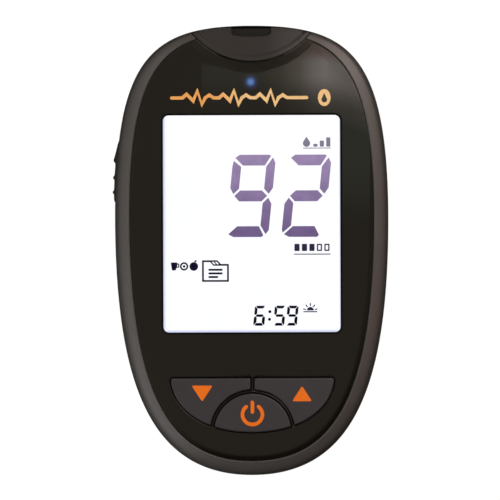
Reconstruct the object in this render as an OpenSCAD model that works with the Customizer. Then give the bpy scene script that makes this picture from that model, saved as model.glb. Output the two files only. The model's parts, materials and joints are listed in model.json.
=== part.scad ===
// Blood glucose meter, lying on its back.
// +Z leaves through the face, +Y points to the strip port, the base plane is z = 0.

/* [Body] */
// Overall length from the strip port to the lower end
body_l = 89.9; // [89.4:0.1:91]
// Overall width of the two shells, without the ejector slider
body_w = 54.7; // [54.2:0.1:56]
// Overall thickness, from the base to the crown of the lens
crown_z = 18; // [17.9:0.1:18.6]
// Fall of the lens from its crown to its edge
lens_fall = 0.96; // [0.7:0.02:1]

/* [Display] */
// Width of the display window
window_w = 35.3; // [33:0.1:36]
// Height of the display window
window_h = 43.2; // [40:0.1:44]
// Corner radius of the display window
window_r = 1.1; // [0.5:0.1:2]

/* [Buttons] */
// Height of the button caps above the lens
cap_rise = 0.3; // [0.1:0.05:0.6]
// Radius of the centre button
main_r = 7.68; // [7.2:0.02:7.8]

/* [Strip port] */
// Width of the slot that takes a test strip
slot_w = 7.7; // [7:0.1:7.8]
// Height of the slot that takes a test strip
slot_h = 0.8; // [0.6:0.05:0.8]

/* [Cells] */
// Diameter of a cell
cell_d = 10.5; // [10:0.1:10.5]

/* [Hidden] */

kx = body_w / 54.7;
ky = body_l / 89.9;
nq = 18;            // outline points per quarter
part_z = 9.5;       // parting line between the shells
wall = 1.5;
base_in = 6;        // how far the flat base lies inside the outline
base_h = 7;         // height over which the lower shell rounds up
lip_z = 16.65;      // height that the rim's face rises to, before its slope towards the lens
deck_z = 14.5;      // underside of the deck that carries the lens
seat_z = 15.6;      // top of that deck
lens_z = 15.7;      // underside of the lens
board_z = 12.8;
board_t = 0.8;
board_top = board_z + board_t;

port_c = [0, 52.9]; // centre of the arc round the strip port
port_r = 15.4;
win_c = [0, 5.2];
led_y = 33.6;
field_y = -25.54;   // straight upper edge of the button field
main_c = [0, -36.3];

bay_x = 11.9;       // half width of the cell bay
bay_y0 = -31.2;
bay_y1 = 18.2;
cell_z = 1.4 + 10.5 / 2;
door_y0 = -32.6;
door_y1 = 19.6;
door_x = 13.3;

boss = [[19.2, -22.6], [-19.2, -22.6], [15.5, 32], [-15.5, 32]];
post = [[21.6, 5], [-21.6, 5], [0, -39.4]];

ej_a = 5.7;         // slant of the ejector's path
ej_o = [-25.15, 9]; // start of that path, on the inner face of the wall

// ---------------------------------------------------------------- outline
function mixv(a, b, f) = a * (1 - f) + b * f;
// Upper and lower quarter of the outline: f = 0 is the silhouette, f = 1 the rim's inner edge
function upper_q(f) = [mixv([0, 44.85], [0, 43.4], f), mixv([19.3, 44.85], [16.2, 43.4], f),
                       mixv([27.35, 39.55], [24.3, 38.2], f), mixv([27.35, 6.5], [24.3, 7.1], f)];
function lower_q(f) = [mixv([27.35, 6.5], [24.3, 7.1], f), mixv([27.35, -27.85], [24.3, -31.6], f),
                       mixv([19.9, -45.05], [15, -42], f), mixv([0, -45.05], [0, -42], f)];
function bez(c, t) = pow(1 - t, 3) * c[0] + 3 * pow(1 - t, 2) * t * c[1]
                   + 3 * (1 - t) * t * t * c[2] + pow(t, 3) * c[3];
function bez_d(c, t) = pow(1 - t, 2) * (c[1] - c[0]) + 2 * (1 - t) * t * (c[2] - c[1])
                     + t * t * (c[3] - c[2]);
function rim_pt(f, t, d) =
    let (c = t <= 1 ? upper_q(f) : lower_q(f), u = t <= 1 ? t : t - 1,
         p = bez(c, u), v = bez_d(c, u), w = [v[0] * kx, v[1] * ky], n = w / norm(w))
    [p[0] * kx + d * n[1], p[1] * ky - d * n[0]];
// Closed ring, counter-clockwise from the top, pulled in by d
function ring(f, d) = concat(
    [for (i = [0 : 2 * nq - 1]) let (p = rim_pt(f, i / nq, d)) [-p[0], p[1]]],
    [for (i = [2 * nq : -1 : 1]) rim_pt(f, i / nq, d)]);
function up(pts, z) = [for (p = pts) [p[0], p[1], z]];
function ring3(f, d, z) = up(ring(f, d), z);
// Parameter and half width of the silhouette at a given y above the widest point
function t_at(y, lo = 0, hi = 1, k = 24) = k == 0 ? (lo + hi) / 2 :
    let (m = (lo + hi) / 2)
    bez(upper_q(0), m)[1] * ky > y ? t_at(y, m, hi, k - 1) : t_at(y, lo, m, k - 1);
function x_at(y) = bez(upper_q(0), t_at(y))[0] * kx;

// ---------------------------------------------------------------- helpers
// Skin over rings of equal count, from the first (cap) to the last (cap), or closed on itself
module loft(rings, closed = false) {
    n = len(rings[0]);
    m = len(rings);
    last = closed ? m - 1 : m - 2;
    sides = [for (j = [0 : last], i = [0 : n - 1])
        let (k = (i + 1) % n, a = j * n, b = ((j + 1) % m) * n)
        each [[a + i, b + i, b + k], [a + i, b + k, a + k]]];
    caps = closed ? [] : [[for (i = [0 : n - 1]) i], [for (i = [n - 1 : -1 : 0]) (m - 1) * n + i]];
    polyhedron(points = [for (r = rings) each r], faces = concat(caps, sides), convexity = 10);
}
module slab(pts, z0, z1) translate([0, 0, z0]) linear_extrude(z1 - z0) polygon(pts);
module box(x0, x1, y0, y1, z0, z1) translate([x0, y0, z0]) cube([x1 - x0, y1 - y0, z1 - z0]);
module rod(p, r, z0, z1, fn = 32) translate([p[0], p[1], z0]) cylinder(r = r, h = z1 - z0, $fn = fn);
// Rectangle with rounded corners
function rr(x0, x1, y0, y1, r, n = 5) = [
    for (q = [[x1 - r, y1 - r, 0], [x0 + r, y1 - r, 90], [x0 + r, y0 + r, 180], [x1 - r, y0 + r, 270]],
         i = [0 : n]) [q[0] + r * cos(q[2] + 90 * i / n), q[1] + r * sin(q[2] + 90 * i / n)]];
// Coil of round wire from z = 0 to z = length
module coil(r, wire, length, turns, seg = 14, sides = 6)
    loft([for (i = [0 : turns * seg])
        let (a = 360 * i / seg, z = wire / 2 + (length - wire) * i / (turns * seg))
        [for (j = [0 : sides - 1]) let (b = -360 * j / sides, q = r + wire / 2 * cos(b))
            [q * cos(a), q * sin(a), z + wire / 2 * sin(b)]]]);
module at_ejector() translate([ej_o[0], ej_o[1], 0]) rotate([0, 0, -ej_a]) children();

// ---------------------------------------------------------------- shells
module rear_outer()
    loft(concat([for (k = [0 : 6]) ring3(0, base_in * (1 - sin(15 * k)), base_h * (1 - cos(15 * k)))],
                [ring3(0, 0, part_z)]));
module rear_inner()
    loft(concat([for (k = [0 : 6]) ring3(0, wall + (base_in - 0.4) * (1 - sin(15 * k)),
                                         wall + (base_h - 1) * (1 - cos(15 * k)))],
                [ring3(0, wall, part_z + 1)]));
// Rings of the rim's outer face, from the parting line over the shoulder to the crest
function rim_z(c) = 11.2 + (lip_z - 11.2) * pow(1 - pow(1 - c, 5), 0.2) - 1.1 * (1 - c);
rim_c = [0.004, 0.02, 0.06, 0.13, 0.22, 0.34, 0.48, 0.64, 0.82, 0.95];
function rim_rings(g) = concat(
    [ring3(0, g, part_z + 0.06), ring3(0, g, 10.2)],
    [for (c = rim_c) ring3(c, g * (1 - c), rim_z(c))]);
// Solid inside the rim's outer face
module bezel_envelope(g = 0.22) loft(concat(rim_rings(g), [ring3(1, 0.3, lip_z - 0.04)]));
// Everything under the crown of the lens, pulled in by g and raised by h
function s_ring(s, z) = [for (p = ring(1, 1.05)) [p[0] * s, 0.7 + (p[1] - 0.7) * s, z]];
module crown(z0, h = 0, g = 0.08)
    loft(concat([ring3(1, g, z0), ring3(1, g, 16.38 + h), ring3(1, 0.3, 16.68 + h),
                 ring3(1, 0.62, 16.88 + h)],
                [for (s = [1, 0.9, 0.78, 0.64, 0.5, 0.34, 0.16])
                    s_ring(s, crown_z + h - lens_fall * (pow(s, 2.2) - pow(0.16, 2.2)))]));

// ---------------------------------------------------------------- button field
// Right half of the lower edge of the button field, pushed out by d
function field_c() = [[16.25, field_y - 0.5], [15.7, -31.7], [9.7, -36.3], [0, -36.3]];
function field_pt(t, d) = let (p = bez(field_c(), t), v = bez_d(field_c(), t), n = v / norm(v))
    [p[0] - d * n[1], p[1] + d * n[0]];
// Whole field outline, clockwise from the upper left corner, pushed out by d
function field(d) = concat(
    [for (a = [180, 135, 90]) [-15.75 + (0.5 + d) * cos(a), field_y - 0.5 + (0.5 + d) * sin(a)]],
    [for (a = [90, 45]) [15.75 + (0.5 + d) * cos(a), field_y - 0.5 + (0.5 + d) * sin(a)]],
    [for (i = [0 : 14]) field_pt(i / 14, d)],
    [for (i = [13 : -1 : 1]) let (p = field_pt(i / 14, d)) [-p[0], p[1]]]);
// Footprint of the three keys, grown by d (by e at the field's own edge), from z0 to z1
module side_key(s, d, z0, z1, e = undef) difference() {
    slab(field(is_undef(e) ? d : e), z0, z1);
    rod(main_c, main_r + 0.86 - d, z0 - 1, z1 + 1, 72);
    box(s > 0 ? -30 : -0.43 + d, s > 0 ? 0.43 - d : 30, -40, -20, z0 - 1, z1 + 1);
}
module centre_key(d, z0, z1, e = undef) intersection() {
    slab(field(is_undef(e) ? d : e), z0, z1);
    rod(main_c, main_r + d, z0 - 1, z1 + 1, 72);
}

module front_bezel() color([0.31, 0.29, 0.29]) difference() {
    union() {
        difference() {
            union() {
                loft(concat(rim_rings(0.22),
                    [ring3(1, 0, lip_z - 0.15), ring3(1, 0, 14.3), ring3(0, 1.9, board_z),
                     ring3(0, 2.4, 10.5), ring3(0, 2.4, 8.4), ring3(0, 1.62, 8.4),
                     ring3(0, 1.62, part_z + 0.06)]), closed = true);
                slab(ring(1, -0.6), deck_z, seat_z);
            }
            // display opening, keypad pocket and key opening
            box(-19.8 + 0.1, 19.8 + 0.1, -20.5, 29.2, 10, 17);
            slab(field(1.25), 10, 15.1);
            slab(field(0.26), 15, 17);
            // strip port with the connector and the status light behind it
            rod(port_c, port_r, part_z + 0.02, 20, 96);
            box(-6.6, 6.6, 34, 46, 10, 17);
            rod([0, led_y], 1.1, 10, 17);
            // room for the cover's bosses, ejector slot and the room for its flange
            for (p = boss) rod(p, 3.4, 8, part_z + 0.08);
            at_ejector() box(-4, 0.4, 0.15, 17.1, 7.9, 12.45);
            at_ejector() box(-0.1, 1.5, -4.5, 21.6, 7.9, 12.7);
        }
        for (p = boss) rod(p, 2.1, part_z + 0.1, deck_z + 0.5);
        for (p = post) rod(p, 1.5, board_top + 0.03, deck_z + 0.5);
    }
    for (p = boss) rod(p, 0.92, 8, 13.6);
    for (p = post) rod(p, 0.82, 12, 15.2);
}

module rear_cover() color([0.08, 0.08, 0.08]) difference() {
    union() {
        difference() { rear_outer(); rear_inner(); }
        intersection() {
            rear_outer();
            union() for (p = boss) rod(p, 3.2, 0.5, part_z - 0.02);
        }
        slab(rr(-14.6, 14.6, door_y0 - 1.6, door_y1 + 1.6, 4), 0.3, 3);
        slab(rr(-bay_x - 1.2, bay_x + 1.2, bay_y0 - 1.2, bay_y1 + 1.2, 1), 1, 12.6);
        // rails under the ejector arm and the rib that its spring pushes on
        for (x = [-20.2, -6.4]) box(x, x + 1, 21, 29, 1, 10.7);
        box(-10.6, -7.4, 31, 32.4, 1, 12.5);
    }
    // cell bay with the door's seat, hinge pockets and a thumb scoop
    box(-bay_x, bay_x, bay_y0, bay_y1, 1.2, 12);
    slab(rr(-door_x - 0.15, door_x + 0.15, door_y0 - 0.15, door_y1 + 0.15, 2.6), -1, 1.38);
    for (s = [-1, 1]) box(s * 8 - 2.3, s * 8 + 2.3, -34.5, -31.5, 0.42, 2.3);
    translate([0, 21.6, -5.2]) sphere(r = 6, $fn = 48);
    // screw seats
    for (p = boss) { rod(p, 2, -1, 3); rod(p, 1.1, 2, 12); }
    // bare label recess
    slab(rr(-11, 11, 26.4, 36, 1), -1, 0.12);
    at_ejector() box(-4, 0.4, 0.15, 17.1, 7.9, 12.45);
    at_ejector() box(-0.1, 1.5, -4.5, 21.6, 8.1, 12.7);
}

module face_lens() color([0.05, 0.05, 0.05]) difference() {
    crown(lens_z);
    slab(rr(win_c[0] - window_w / 2, win_c[0] + window_w / 2,
            win_c[1] - window_h / 2, win_c[1] + window_h / 2, window_r), 10, 20);
    box(-19.9 + 0.1, 19.9 + 0.1, -20.6, 29.3, 10, 16.25);
    // key openings leave a thin web between the keys
    side_key(-1, 0.23, 10, 20);
    side_key(1, 0.23, 10, 20);
    centre_key(0.23, 10, 20);
    // strip port arc with its sloped edge
    rod(port_c, port_r + 0.15, 10, 20, 96);
    translate([0, port_c[1], 16.2]) cylinder(r1 = port_r + 0.15, r2 = port_r + 2.6, h = 1.8, $fn = 96);
    // thinned spot over the light pipe
    rod([0, led_y], 1, 10, 16.6);
}

module lens_window() color([0.75, 0.85, 0.95, 0.35]) intersection() {
    crown(lens_z);
    slab(rr(win_c[0] - window_w / 2 + 0.03, win_c[0] + window_w / 2 - 0.03,
            win_c[1] - window_h / 2 + 0.03, win_c[1] + window_h / 2 - 0.03, window_r), 16.27, 20);
}

module lens_gasket() color([0.2, 0.2, 0.2]) difference() {
    slab(ring(1, 0.3), seat_z + 0.01, lens_z - 0.01);
    box(-20.6, 20.8, -21.2, 29.9, 10, 20);
    slab(field(0.9), 10, 20);
    rod(port_c, port_r + 1, 10, 20, 96);
    rod([0, led_y], 1.6, 10, 20);
    box(-7.2, 7.2, 33.6, 46, 10, 20);
}

module port_cap() color([0.29, 0.27, 0.27]) difference() {
    intersection() {
        bezel_envelope(0.25);
        rod(port_c, port_r - 0.1, part_z, 20, 96);
    }
    // top falls towards the port, with a scoop that falls a little faster
    translate([0, 37.5, 16.35]) rotate([-10.3, 0, 0]) translate([-20, -3, 0]) cube([40, 20, 6]);
    translate([0, 38.8, 15.95]) rotate([-16, 0, 0]) translate([0, 12.8, 0]) cylinder(r = 12.8, h = 6, $fn = 96);
    // hollow for the board, the connector and the strip guide
    slab(ring(0, 2), 9, 14.2);
    box(-6.3, 6.3, 34, 39.6, 13, 15.15);
    box(-6.3, 6.3, 39.5, 41.8, 13, 14.75);
    box(-5, 5, 41.6, 46, 12.5, 13.9);
    box(-3.98, 3.98, 42.7, 46, 13, 20);
    box(-slot_w / 2, slot_w / 2, 41, 46, 13.9, 13.95 + slot_h);
}

module strip_guide() color([0.04, 0.04, 0.04]) difference() {
    intersection() {
        slab(ring(0, 0.3), 12.6, 13.86);
        box(-4.9, 4.9, 41.78, 46, 12.6, 13.86);
    }
    // ramp at the mouth
    translate([-3.8, 44.1, 13.86]) rotate([-35, 0, 0]) cube([7.6, 2, 1]);
}

// ---------------------------------------------------------------- ejector
// How far the slider stands out of the wall, from its upper end down over three ridges
ridge = [[22, -0.05], [21.4, 0.12], [18.1, 0.6], [17.8, 0.55], [17.4, 0.2], [14.9, 0.22], [14.7, 0.46], [14.3, 0.46],
         [14.1, 0.22], [12, 0.23], [11.8, 0.44], [11.4, 0.44], [11.2, 0.22], [9.9, 0.2], [9.5, -0.1]];
module ejector_slider() color([0.06, 0.06, 0.06]) translate([0, 0, 8.15]) linear_extrude(4.1)
    polygon(concat([for (q = ridge) [-x_at(q[0]) - q[1], q[0]]],
        [for (y = [0.6, 13]) [ej_o[0] + 0.05 * cos(ej_a) + y * sin(ej_a), ej_o[1] + y * cos(ej_a)]]));
module ejector_carriage() color([0.05, 0.05, 0.05]) union() {
    at_ejector() box(0.1, 1, -4.1, 17.2, 8.3, 12.3);
    box(-23.2, -1.9, 21.3, 23.8, 10.8, 12.4);
    box(-3.9, -1.9, 22, 32.6, 10.8, 12.4);
    box(-3.4, -2.4, 31, 32.6, 11, 14.4);
}
module ejector_spring() color([0.75, 0.75, 0.78]) translate([-9, 23.83, 11.6]) rotate([-90, 0, 0])
    coil(0.78, 0.24, 7.14, 7, 12, 6);

// ---------------------------------------------------------------- keys
module key_top(h = cap_rise) crown(14.4, h, -0.2);
// Caps with a flange that the deck holds down
module down_button() color([0.25, 0.23, 0.23]) union() {
    intersection() { key_top(); side_key(-1, 0, 14.8, 20); }
    side_key(-1, 0.22, 14.62, 14.95, 0.62);
}
module up_button() color([0.25, 0.23, 0.23]) union() {
    intersection() { key_top(); side_key(1, 0, 14.8, 20); }
    side_key(1, 0.22, 14.62, 14.95, 0.62);
}
module main_button() color([0.25, 0.23, 0.23]) union() {
    intersection() { key_top(); centre_key(0, 14.8, 20); }
    centre_key(0.22, 14.62, 14.95, 0.62);
}
pads = [[-10.8, -29.3], [10.8, -29.3], [0, -32.3]];
module keypad_mat() color([0.35, 0.35, 0.36]) union() {
    slab(field(0.9), 14.25, 14.55);
    for (p = pads) { rod(p, 2.6, 14.5, 14.6); rod(p, 1.1, 14.02, 14.3); }
}
module snap_domes() color([0.8, 0.78, 0.7]) for (p = pads) translate([p[0], p[1], board_top + 0.02])
    rotate_extrude($fn = 32) polygon([[0, 0.2], [0.9, 0.16], [1.8, 0.02], [2.5, 0], [2.5, 0.1], [1.9, 0.14],
        [0.95, 0.3], [0, 0.36]]);

// ---------------------------------------------------------------- cells and door
module battery_door() color([0.08, 0.08, 0.08]) union() {
    difference() {
        slab(rr(-door_x, door_x, door_y0, door_y1, 2.5), 0.2, 1.28);
        // slits that free the latch, and a finger hollow
        for (s = [-1, 1]) box(s * 4.4 - 0.35, s * 4.4 + 0.35, 12.6, 21, -1, 2);
        translate([0, 21.6, -5.2]) sphere(r = 6.1, $fn = 48);
    }
    for (y = [12.9, 14.1, 15.3]) box(-2.8, 2.8, y, y + 0.45, 0.05, 0.3);
    for (s = [-1, 1]) box(s * 8 - 2, s * 8 + 2, door_y0 - 1.2, door_y0 + 1, 0.6, 1.28);
}
// Cell with its button end towards +Y
module cell() rotate([-90, 0, 0]) rotate_extrude($fn = 48)
    polygon([[0, 0.25], [2.6, 0.25], [3.2, 0], [4.7, 0], [cell_d / 2 - 0.1, 0.2], [cell_d / 2, 0.5], [cell_d / 2, 43],
             [cell_d / 2 - 0.3, 43.5], [3.4, 43.6], [2.4, 43.7], [1.9, 43.8], [1.85, 44.4], [1.6, 44.5], [0, 44.5]]);
module cell_left() color([0.12, 0.12, 0.13]) translate([-5.6, bay_y0 + 3.6, cell_z]) cell();
module cell_right() color([0.12, 0.12, 0.13]) translate([5.6, bay_y1 - 3.6, cell_z]) rotate([0, 0, 180]) cell();
module cone_spring() loft([for (i = [0 : 42])
    let (a = 360 * i / 12, k = i / 42, r = 3.3 - 1.3 * k, w = 0.26)
    [for (j = [0 : 5]) let (b = -60 * j) [(r + w * cos(b)) * cos(a), (r + w * cos(b)) * sin(a), w + 2.6 * k + w * sin(b)]]]);
module battery_springs() color([0.8, 0.8, 0.82]) union() {
    translate([-5.6, bay_y0 + 0.42, cell_z]) rotate([-90, 0, 0]) cone_spring();
    translate([5.6, bay_y1 - 0.42, cell_z]) rotate([90, 0, 0]) cone_spring();
}
module battery_plates() color([0.82, 0.82, 0.8]) union() {
    box(-10.6, 10.6, bay_y0 + 0.05, bay_y0 + 0.38, 2, 11.4);
    translate([5.6, bay_y0 + 0.3, cell_z]) rotate([-90, 0, 0]) cylinder(r1 = 2.2, r2 = 1.5, h = 0.9, $fn = 32);
    box(-10.6, -0.7, bay_y1 - 0.38, bay_y1 - 0.05, 2, 11.4);
    translate([-5.6, bay_y1 - 0.3, cell_z]) rotate([90, 0, 0]) cylinder(r1 = 2.2, r2 = 1.5, h = 0.9, $fn = 32);
    box(0.7, 10.6, bay_y1 - 0.38, bay_y1 - 0.05, 2, 11.4);
}

// ---------------------------------------------------------------- display
lcd_x = 18.8;
module lcd_front_glass() color([0.7, 0.78, 0.76, 0.5]) box(0.1 - lcd_x, 0.1 + lcd_x, -19.4, 28.2, 15.33, 15.86);
module lcd_rear_glass() color([0.7, 0.78, 0.76, 0.5]) box(0.1 - lcd_x, 0.1 + lcd_x, -17.4, 28.2, 14.76, 15.31);
module front_polariser() color([0.93, 0.94, 0.98]) box(0.1 - 18.6, 0.1 + 18.6, -17.2, 28, 15.88, 16.06);
module rear_polariser() color([0.8, 0.8, 0.82]) box(0.1 - 18.6, 0.1 + 18.6, -17.2, 28, 14.66, 14.74);
module backlight_guide() color([0.95, 0.95, 0.97]) difference() {
    box(0.1 - 18.7, 0.1 + 18.7, -17.3, 28.1, 13.8, 14.62);
    for (x = [-9, 9]) box(x - 1.6, x + 1.6, -18, -16.2, 13, 15);
}
module backlight_leds() color([0.95, 0.93, 0.75]) for (x = [-9, 9]) box(x - 1.4, x + 1.4, -17.2, -16.35, 13.63, 14.5);
module lcd_frame() color([0.93, 0.93, 0.93]) difference() {
    box(0.1 - 19.55, 0.1 + 19.55, -20.2, 28.9, 13.63, 15.8);
    box(0.1 - 18.9, 0.1 + 18.9, -19.5, 28.3, 13, 17);
}
module zebra_strip() color([0.85, 0.45, 0.5]) box(-17.5, 17.7, -19.3, -17.95, 13.63, 15.3);

// ---------------------------------------------------------------- electronics
module main_board() color([0.05, 0.32, 0.16]) difference() {
    slab(ring(0, 3.2), board_z, board_top);
    for (p = boss) rod(p, 2.4, 12, 15);
    for (p = post) rod(p, 0.9, 12, 15);
    box(-3.75, -1.7, 30.7, 37.25, 12, 15);
}
module strip_connector() color([0.07, 0.07, 0.07]) difference() {
    union() {
        box(-6, 6, 35.2, 39.5, board_top + 0.04, 15.05);
        box(-6, 6, 39.4, 41.5, board_top + 0.04, 14.65);
    }
    box(-3.85, 3.85, 36.2, 42, 13.95, 14.75);
    box(-3.75, -1.75, 34, 37.25, 13, 14.6);
    box(-1.8, 3.8, 35, 36.4, 14.48, 14.75);
}
module strip_contacts() color([0.85, 0.68, 0.3]) for (i = [0 : 6]) translate([-1.4 + 0.8 * i, 0, 0]) union() {
    box(-0.15, 0.15, 34.6, 40.6, 14.56, 14.7);
    box(-0.15, 0.15, 34.6, 34.76, 13.64, 14.7);
    box(-0.15, 0.15, 34.2, 34.76, 13.64, 13.76);
}
module status_led() color([0.7, 0.8, 1]) box(-0.8, 0.8, led_y - 0.4, led_y + 0.4, board_top + 0.02, 14.2);
module light_pipe() color([0.8, 0.88, 1, 0.6]) rod([0, led_y], 0.85, 14.3, 16.55);
module microcontroller() color([0.1, 0.1, 0.1]) union() {
    box(4, 12, 20, 28, 11.75, 12.65);
    for (a = [0 : 90 : 270]) translate([8, 24, 0]) rotate([0, 0, a])
        for (i = [-5 : 5]) box(i * 0.65 - 0.13, i * 0.65 + 0.13, 3.9, 4.6, 12.5, 12.76);
}
module radio_module() color([0.78, 0.78, 0.8]) union() {
    box(14.4, 22.4, -15, -3, 12.1, 12.77);
    box(15, 21.8, -14.4, -6, 10.9, 12.2);
}
module memory_chip() color([0.1, 0.1, 0.1]) union() {
    box(-20.8, -15.8, -9, -3, 11.9, 12.65);
    for (s = [-1, 1], i = [0 : 3]) box(-18.3 + s * 2.9 - 0.45, -18.3 + s * 2.9 + 0.45, -8 + 1.27 * i, -7.6 + 1.27 * i, 12.5, 12.76);
}
module clock_crystal() color([0.8, 0.8, 0.82]) translate([-17.6, 6, 11.7]) rotate([-90, 0, 0])
    cylinder(r = 1, h = 6, $fn = 24);
module buzzer() color([0.1, 0.1, 0.1]) difference() {
    rod([18.3, 15.6], 4.2, 10.4, 12.77, 48);
    rod([18.3, 15.6], 0.6, 10, 11.4, 24);
}
module chip_capacitors() color([0.62, 0.5, 0.36])
    for (p = [[16, 26], [19, 24], [-17, -14], [-20, -14], [-7, -37.5], [7, -37.5], [15.6, -20]])
        box(p[0] - 0.8, p[0] + 0.8, p[1] - 0.4, p[1] + 0.4, 12.1, 12.77);

// ---------------------------------------------------------------- fasteners
// Pan-head screw, head down, with the underside of the head at z = 0
module screw(r, head_r, head_h, length) difference() {
    union() {
        rotate_extrude($fn = 32) polygon([[0, -head_h], [head_r * 0.7, -head_h], [head_r, -head_h * 0.55], [head_r, 0],
            [r, 0], [r, length - r], [r * 0.3, length], [0, length]]);
    }
    for (a = [0, 90]) rotate([0, 0, a]) box(-head_r * 0.55, head_r * 0.55, -0.2, 0.2, -head_h - 1, -head_h * 0.45);
}
module housing_screws() color([0.55, 0.55, 0.58]) for (p = boss) translate([p[0], p[1], 2.98]) screw(0.9, 1.8, 1.3, 10.3);
module board_screws() color([0.6, 0.6, 0.62]) for (p = post) translate([p[0], p[1], board_z - 0.02]) screw(0.78, 1.5, 0.9, 2.3);

front_bezel();
rear_cover();
face_lens();
lens_window();
lens_gasket();
port_cap();
strip_guide();
ejector_slider();
ejector_carriage();
ejector_spring();
down_button();
up_button();
main_button();
keypad_mat();
snap_domes();
battery_door();
cell_left();
cell_right();
battery_springs();
battery_plates();
lcd_front_glass();
lcd_rear_glass();
front_polariser();
rear_polariser();
backlight_guide();
backlight_leds();
lcd_frame();
zebra_strip();
main_board();
strip_connector();
strip_contacts();
status_led();
light_pipe();
microcontroller();
radio_module();
memory_chip();
clock_crystal();
buzzer();
chip_capacitors();
housing_screws();
board_screws();
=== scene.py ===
import bpy
import bmesh
import json
import math
import numpy as np
from mathutils import Vector, Matrix
from mathutils.geometry import delaunay_2d_cdt

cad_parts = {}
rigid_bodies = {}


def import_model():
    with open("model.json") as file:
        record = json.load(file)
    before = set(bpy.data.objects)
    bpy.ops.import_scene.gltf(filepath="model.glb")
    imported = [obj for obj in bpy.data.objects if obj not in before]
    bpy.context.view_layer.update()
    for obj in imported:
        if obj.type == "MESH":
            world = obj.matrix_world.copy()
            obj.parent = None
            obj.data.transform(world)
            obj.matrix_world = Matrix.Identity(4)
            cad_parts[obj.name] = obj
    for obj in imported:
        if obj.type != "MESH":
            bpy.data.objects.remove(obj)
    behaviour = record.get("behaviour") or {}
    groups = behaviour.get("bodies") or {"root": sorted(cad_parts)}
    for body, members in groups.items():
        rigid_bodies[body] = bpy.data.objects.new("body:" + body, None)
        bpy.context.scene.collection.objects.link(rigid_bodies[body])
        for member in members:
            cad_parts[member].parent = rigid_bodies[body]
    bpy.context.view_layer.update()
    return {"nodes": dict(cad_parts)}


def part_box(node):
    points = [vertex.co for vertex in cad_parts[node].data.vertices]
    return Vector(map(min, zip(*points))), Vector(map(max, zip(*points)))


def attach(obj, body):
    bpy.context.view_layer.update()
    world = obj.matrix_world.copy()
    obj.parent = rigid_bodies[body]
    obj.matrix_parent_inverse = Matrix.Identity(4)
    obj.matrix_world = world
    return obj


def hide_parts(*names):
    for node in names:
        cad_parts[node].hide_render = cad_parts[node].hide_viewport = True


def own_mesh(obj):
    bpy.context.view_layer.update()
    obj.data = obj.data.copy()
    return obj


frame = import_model()
NODES = frame["nodes"]
scene = bpy.context.scene
MM = 0.001

# ============================================================ outline of the body, in millimetres


def mix(a, b, f):
    return np.array(a, float) * (1 - f) + np.array(b, float) * f


def upper_q(f):
    return [mix((0, 44.85), (0, 43.4), f), mix((19.3, 44.85), (16.2, 43.4), f),
            mix((27.35, 39.55), (24.3, 38.2), f), mix((27.35, 6.5), (24.3, 7.1), f)]


def lower_q(f):
    return [mix((27.35, 6.5), (24.3, 7.1), f), mix((27.35, -27.85), (24.3, -31.6), f),
            mix((19.9, -45.05), (15, -42), f), mix((0, -45.05), (0, -42), f)]


def bez(c, t):
    t = np.asarray(t, float)[..., None]
    return (1 - t) ** 3 * c[0] + 3 * (1 - t) ** 2 * t * c[1] + 3 * (1 - t) * t * t * c[2] + t ** 3 * c[3]


def bez_d(c, t):
    t = np.asarray(t, float)[..., None]
    return (1 - t) ** 2 * (c[1] - c[0]) + 2 * (1 - t) * t * (c[2] - c[1]) + t * t * (c[3] - c[2])


def half(f, d, nq):
    out = []
    for c, last in ((upper_q(f), False), (lower_q(f), True)):
        t = np.linspace(0, 1, nq + 1)
        t = t if last else t[:-1]
        p, v = bez(c, t), bez_d(c, t)
        n = v / np.linalg.norm(v, axis=1)[:, None]
        out.append(np.stack([p[:, 0] + d * n[:, 1], p[:, 1] - d * n[:, 0]], 1))
    return np.concatenate(out)


def ring(f, d, nq=56):
    """Closed ring, counter-clockwise from the top, pulled in by d; f = 0 silhouette, f = 1 inner edge of the rim."""
    h = half(f, d, nq)
    left = h[:-1] * (-1, 1)
    right = h[::-1][:-1]
    pts = np.concatenate([left, right])
    pts[np.abs(pts[:, 0]) < 1e-9, 0] = 0
    return pts


C7 = np.array([0.0, 0.7])
PC = np.array([0.0, 52.9])
PR = 15.4
WIN = (-17.64, 17.65, -16.41, 26.82, 1.15)


def polar(pts, c=C7):
    v = pts - c
    th = np.arctan2(v[:, 1], v[:, 0])
    r = np.hypot(v[:, 0], v[:, 1])
    o = np.argsort(th)
    th, r = th[o], r[o]
    th = np.concatenate([th[-3:] - 2 * np.pi, th, th[:3] + 2 * np.pi])
    r = np.concatenate([r[-3:], r, r[:3]])
    return lambda t: np.interp((np.asarray(t) + np.pi) % (2 * np.pi) - np.pi, th, r)


R_dome = polar(ring(1, 1.05, 900))
R_edge = {}


def R_in(f, d):
    k = (f, round(d, 4))
    if k not in R_edge:
        R_edge[k] = polar(ring(f, d, 900))
    return R_edge[k]


def seg_dist(p, poly, closed=True):
    """Distance of points to a polyline, positive inside a closed counter-clockwise or clockwise loop."""
    a = poly
    b = np.roll(poly, -1, 0) if closed else poly[1:]
    if not closed:
        a = poly[:-1]
    out = np.empty(len(p))
    inside = np.zeros(len(p), bool)
    for i in range(0, len(p), 4000):
        q = p[i:i + 4000, None, :]
        ab = (b - a)[None]
        t = np.clip(((q - a) * ab).sum(2) / np.maximum((ab ** 2).sum(2), 1e-18), 0, 1)
        out[i:i + 4000] = np.sqrt((((a + t[..., None] * ab) - q) ** 2).sum(2).min(1))
        if closed:
            y0, y1 = a[None, :, 1] > q[..., 1], b[None, :, 1] > q[..., 1]
            with np.errstate(divide="ignore", invalid="ignore"):
                xc = a[None, :, 0] + (q[..., 1] - a[None, :, 1]) / (b - a)[None, :, 1] * (b - a)[None, :, 0]
            inside[i:i + 4000] = ((y0 != y1) & (q[..., 0] < xc)).sum(1) % 2 == 1
    return np.where(inside, out, -out) if closed else out


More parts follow.
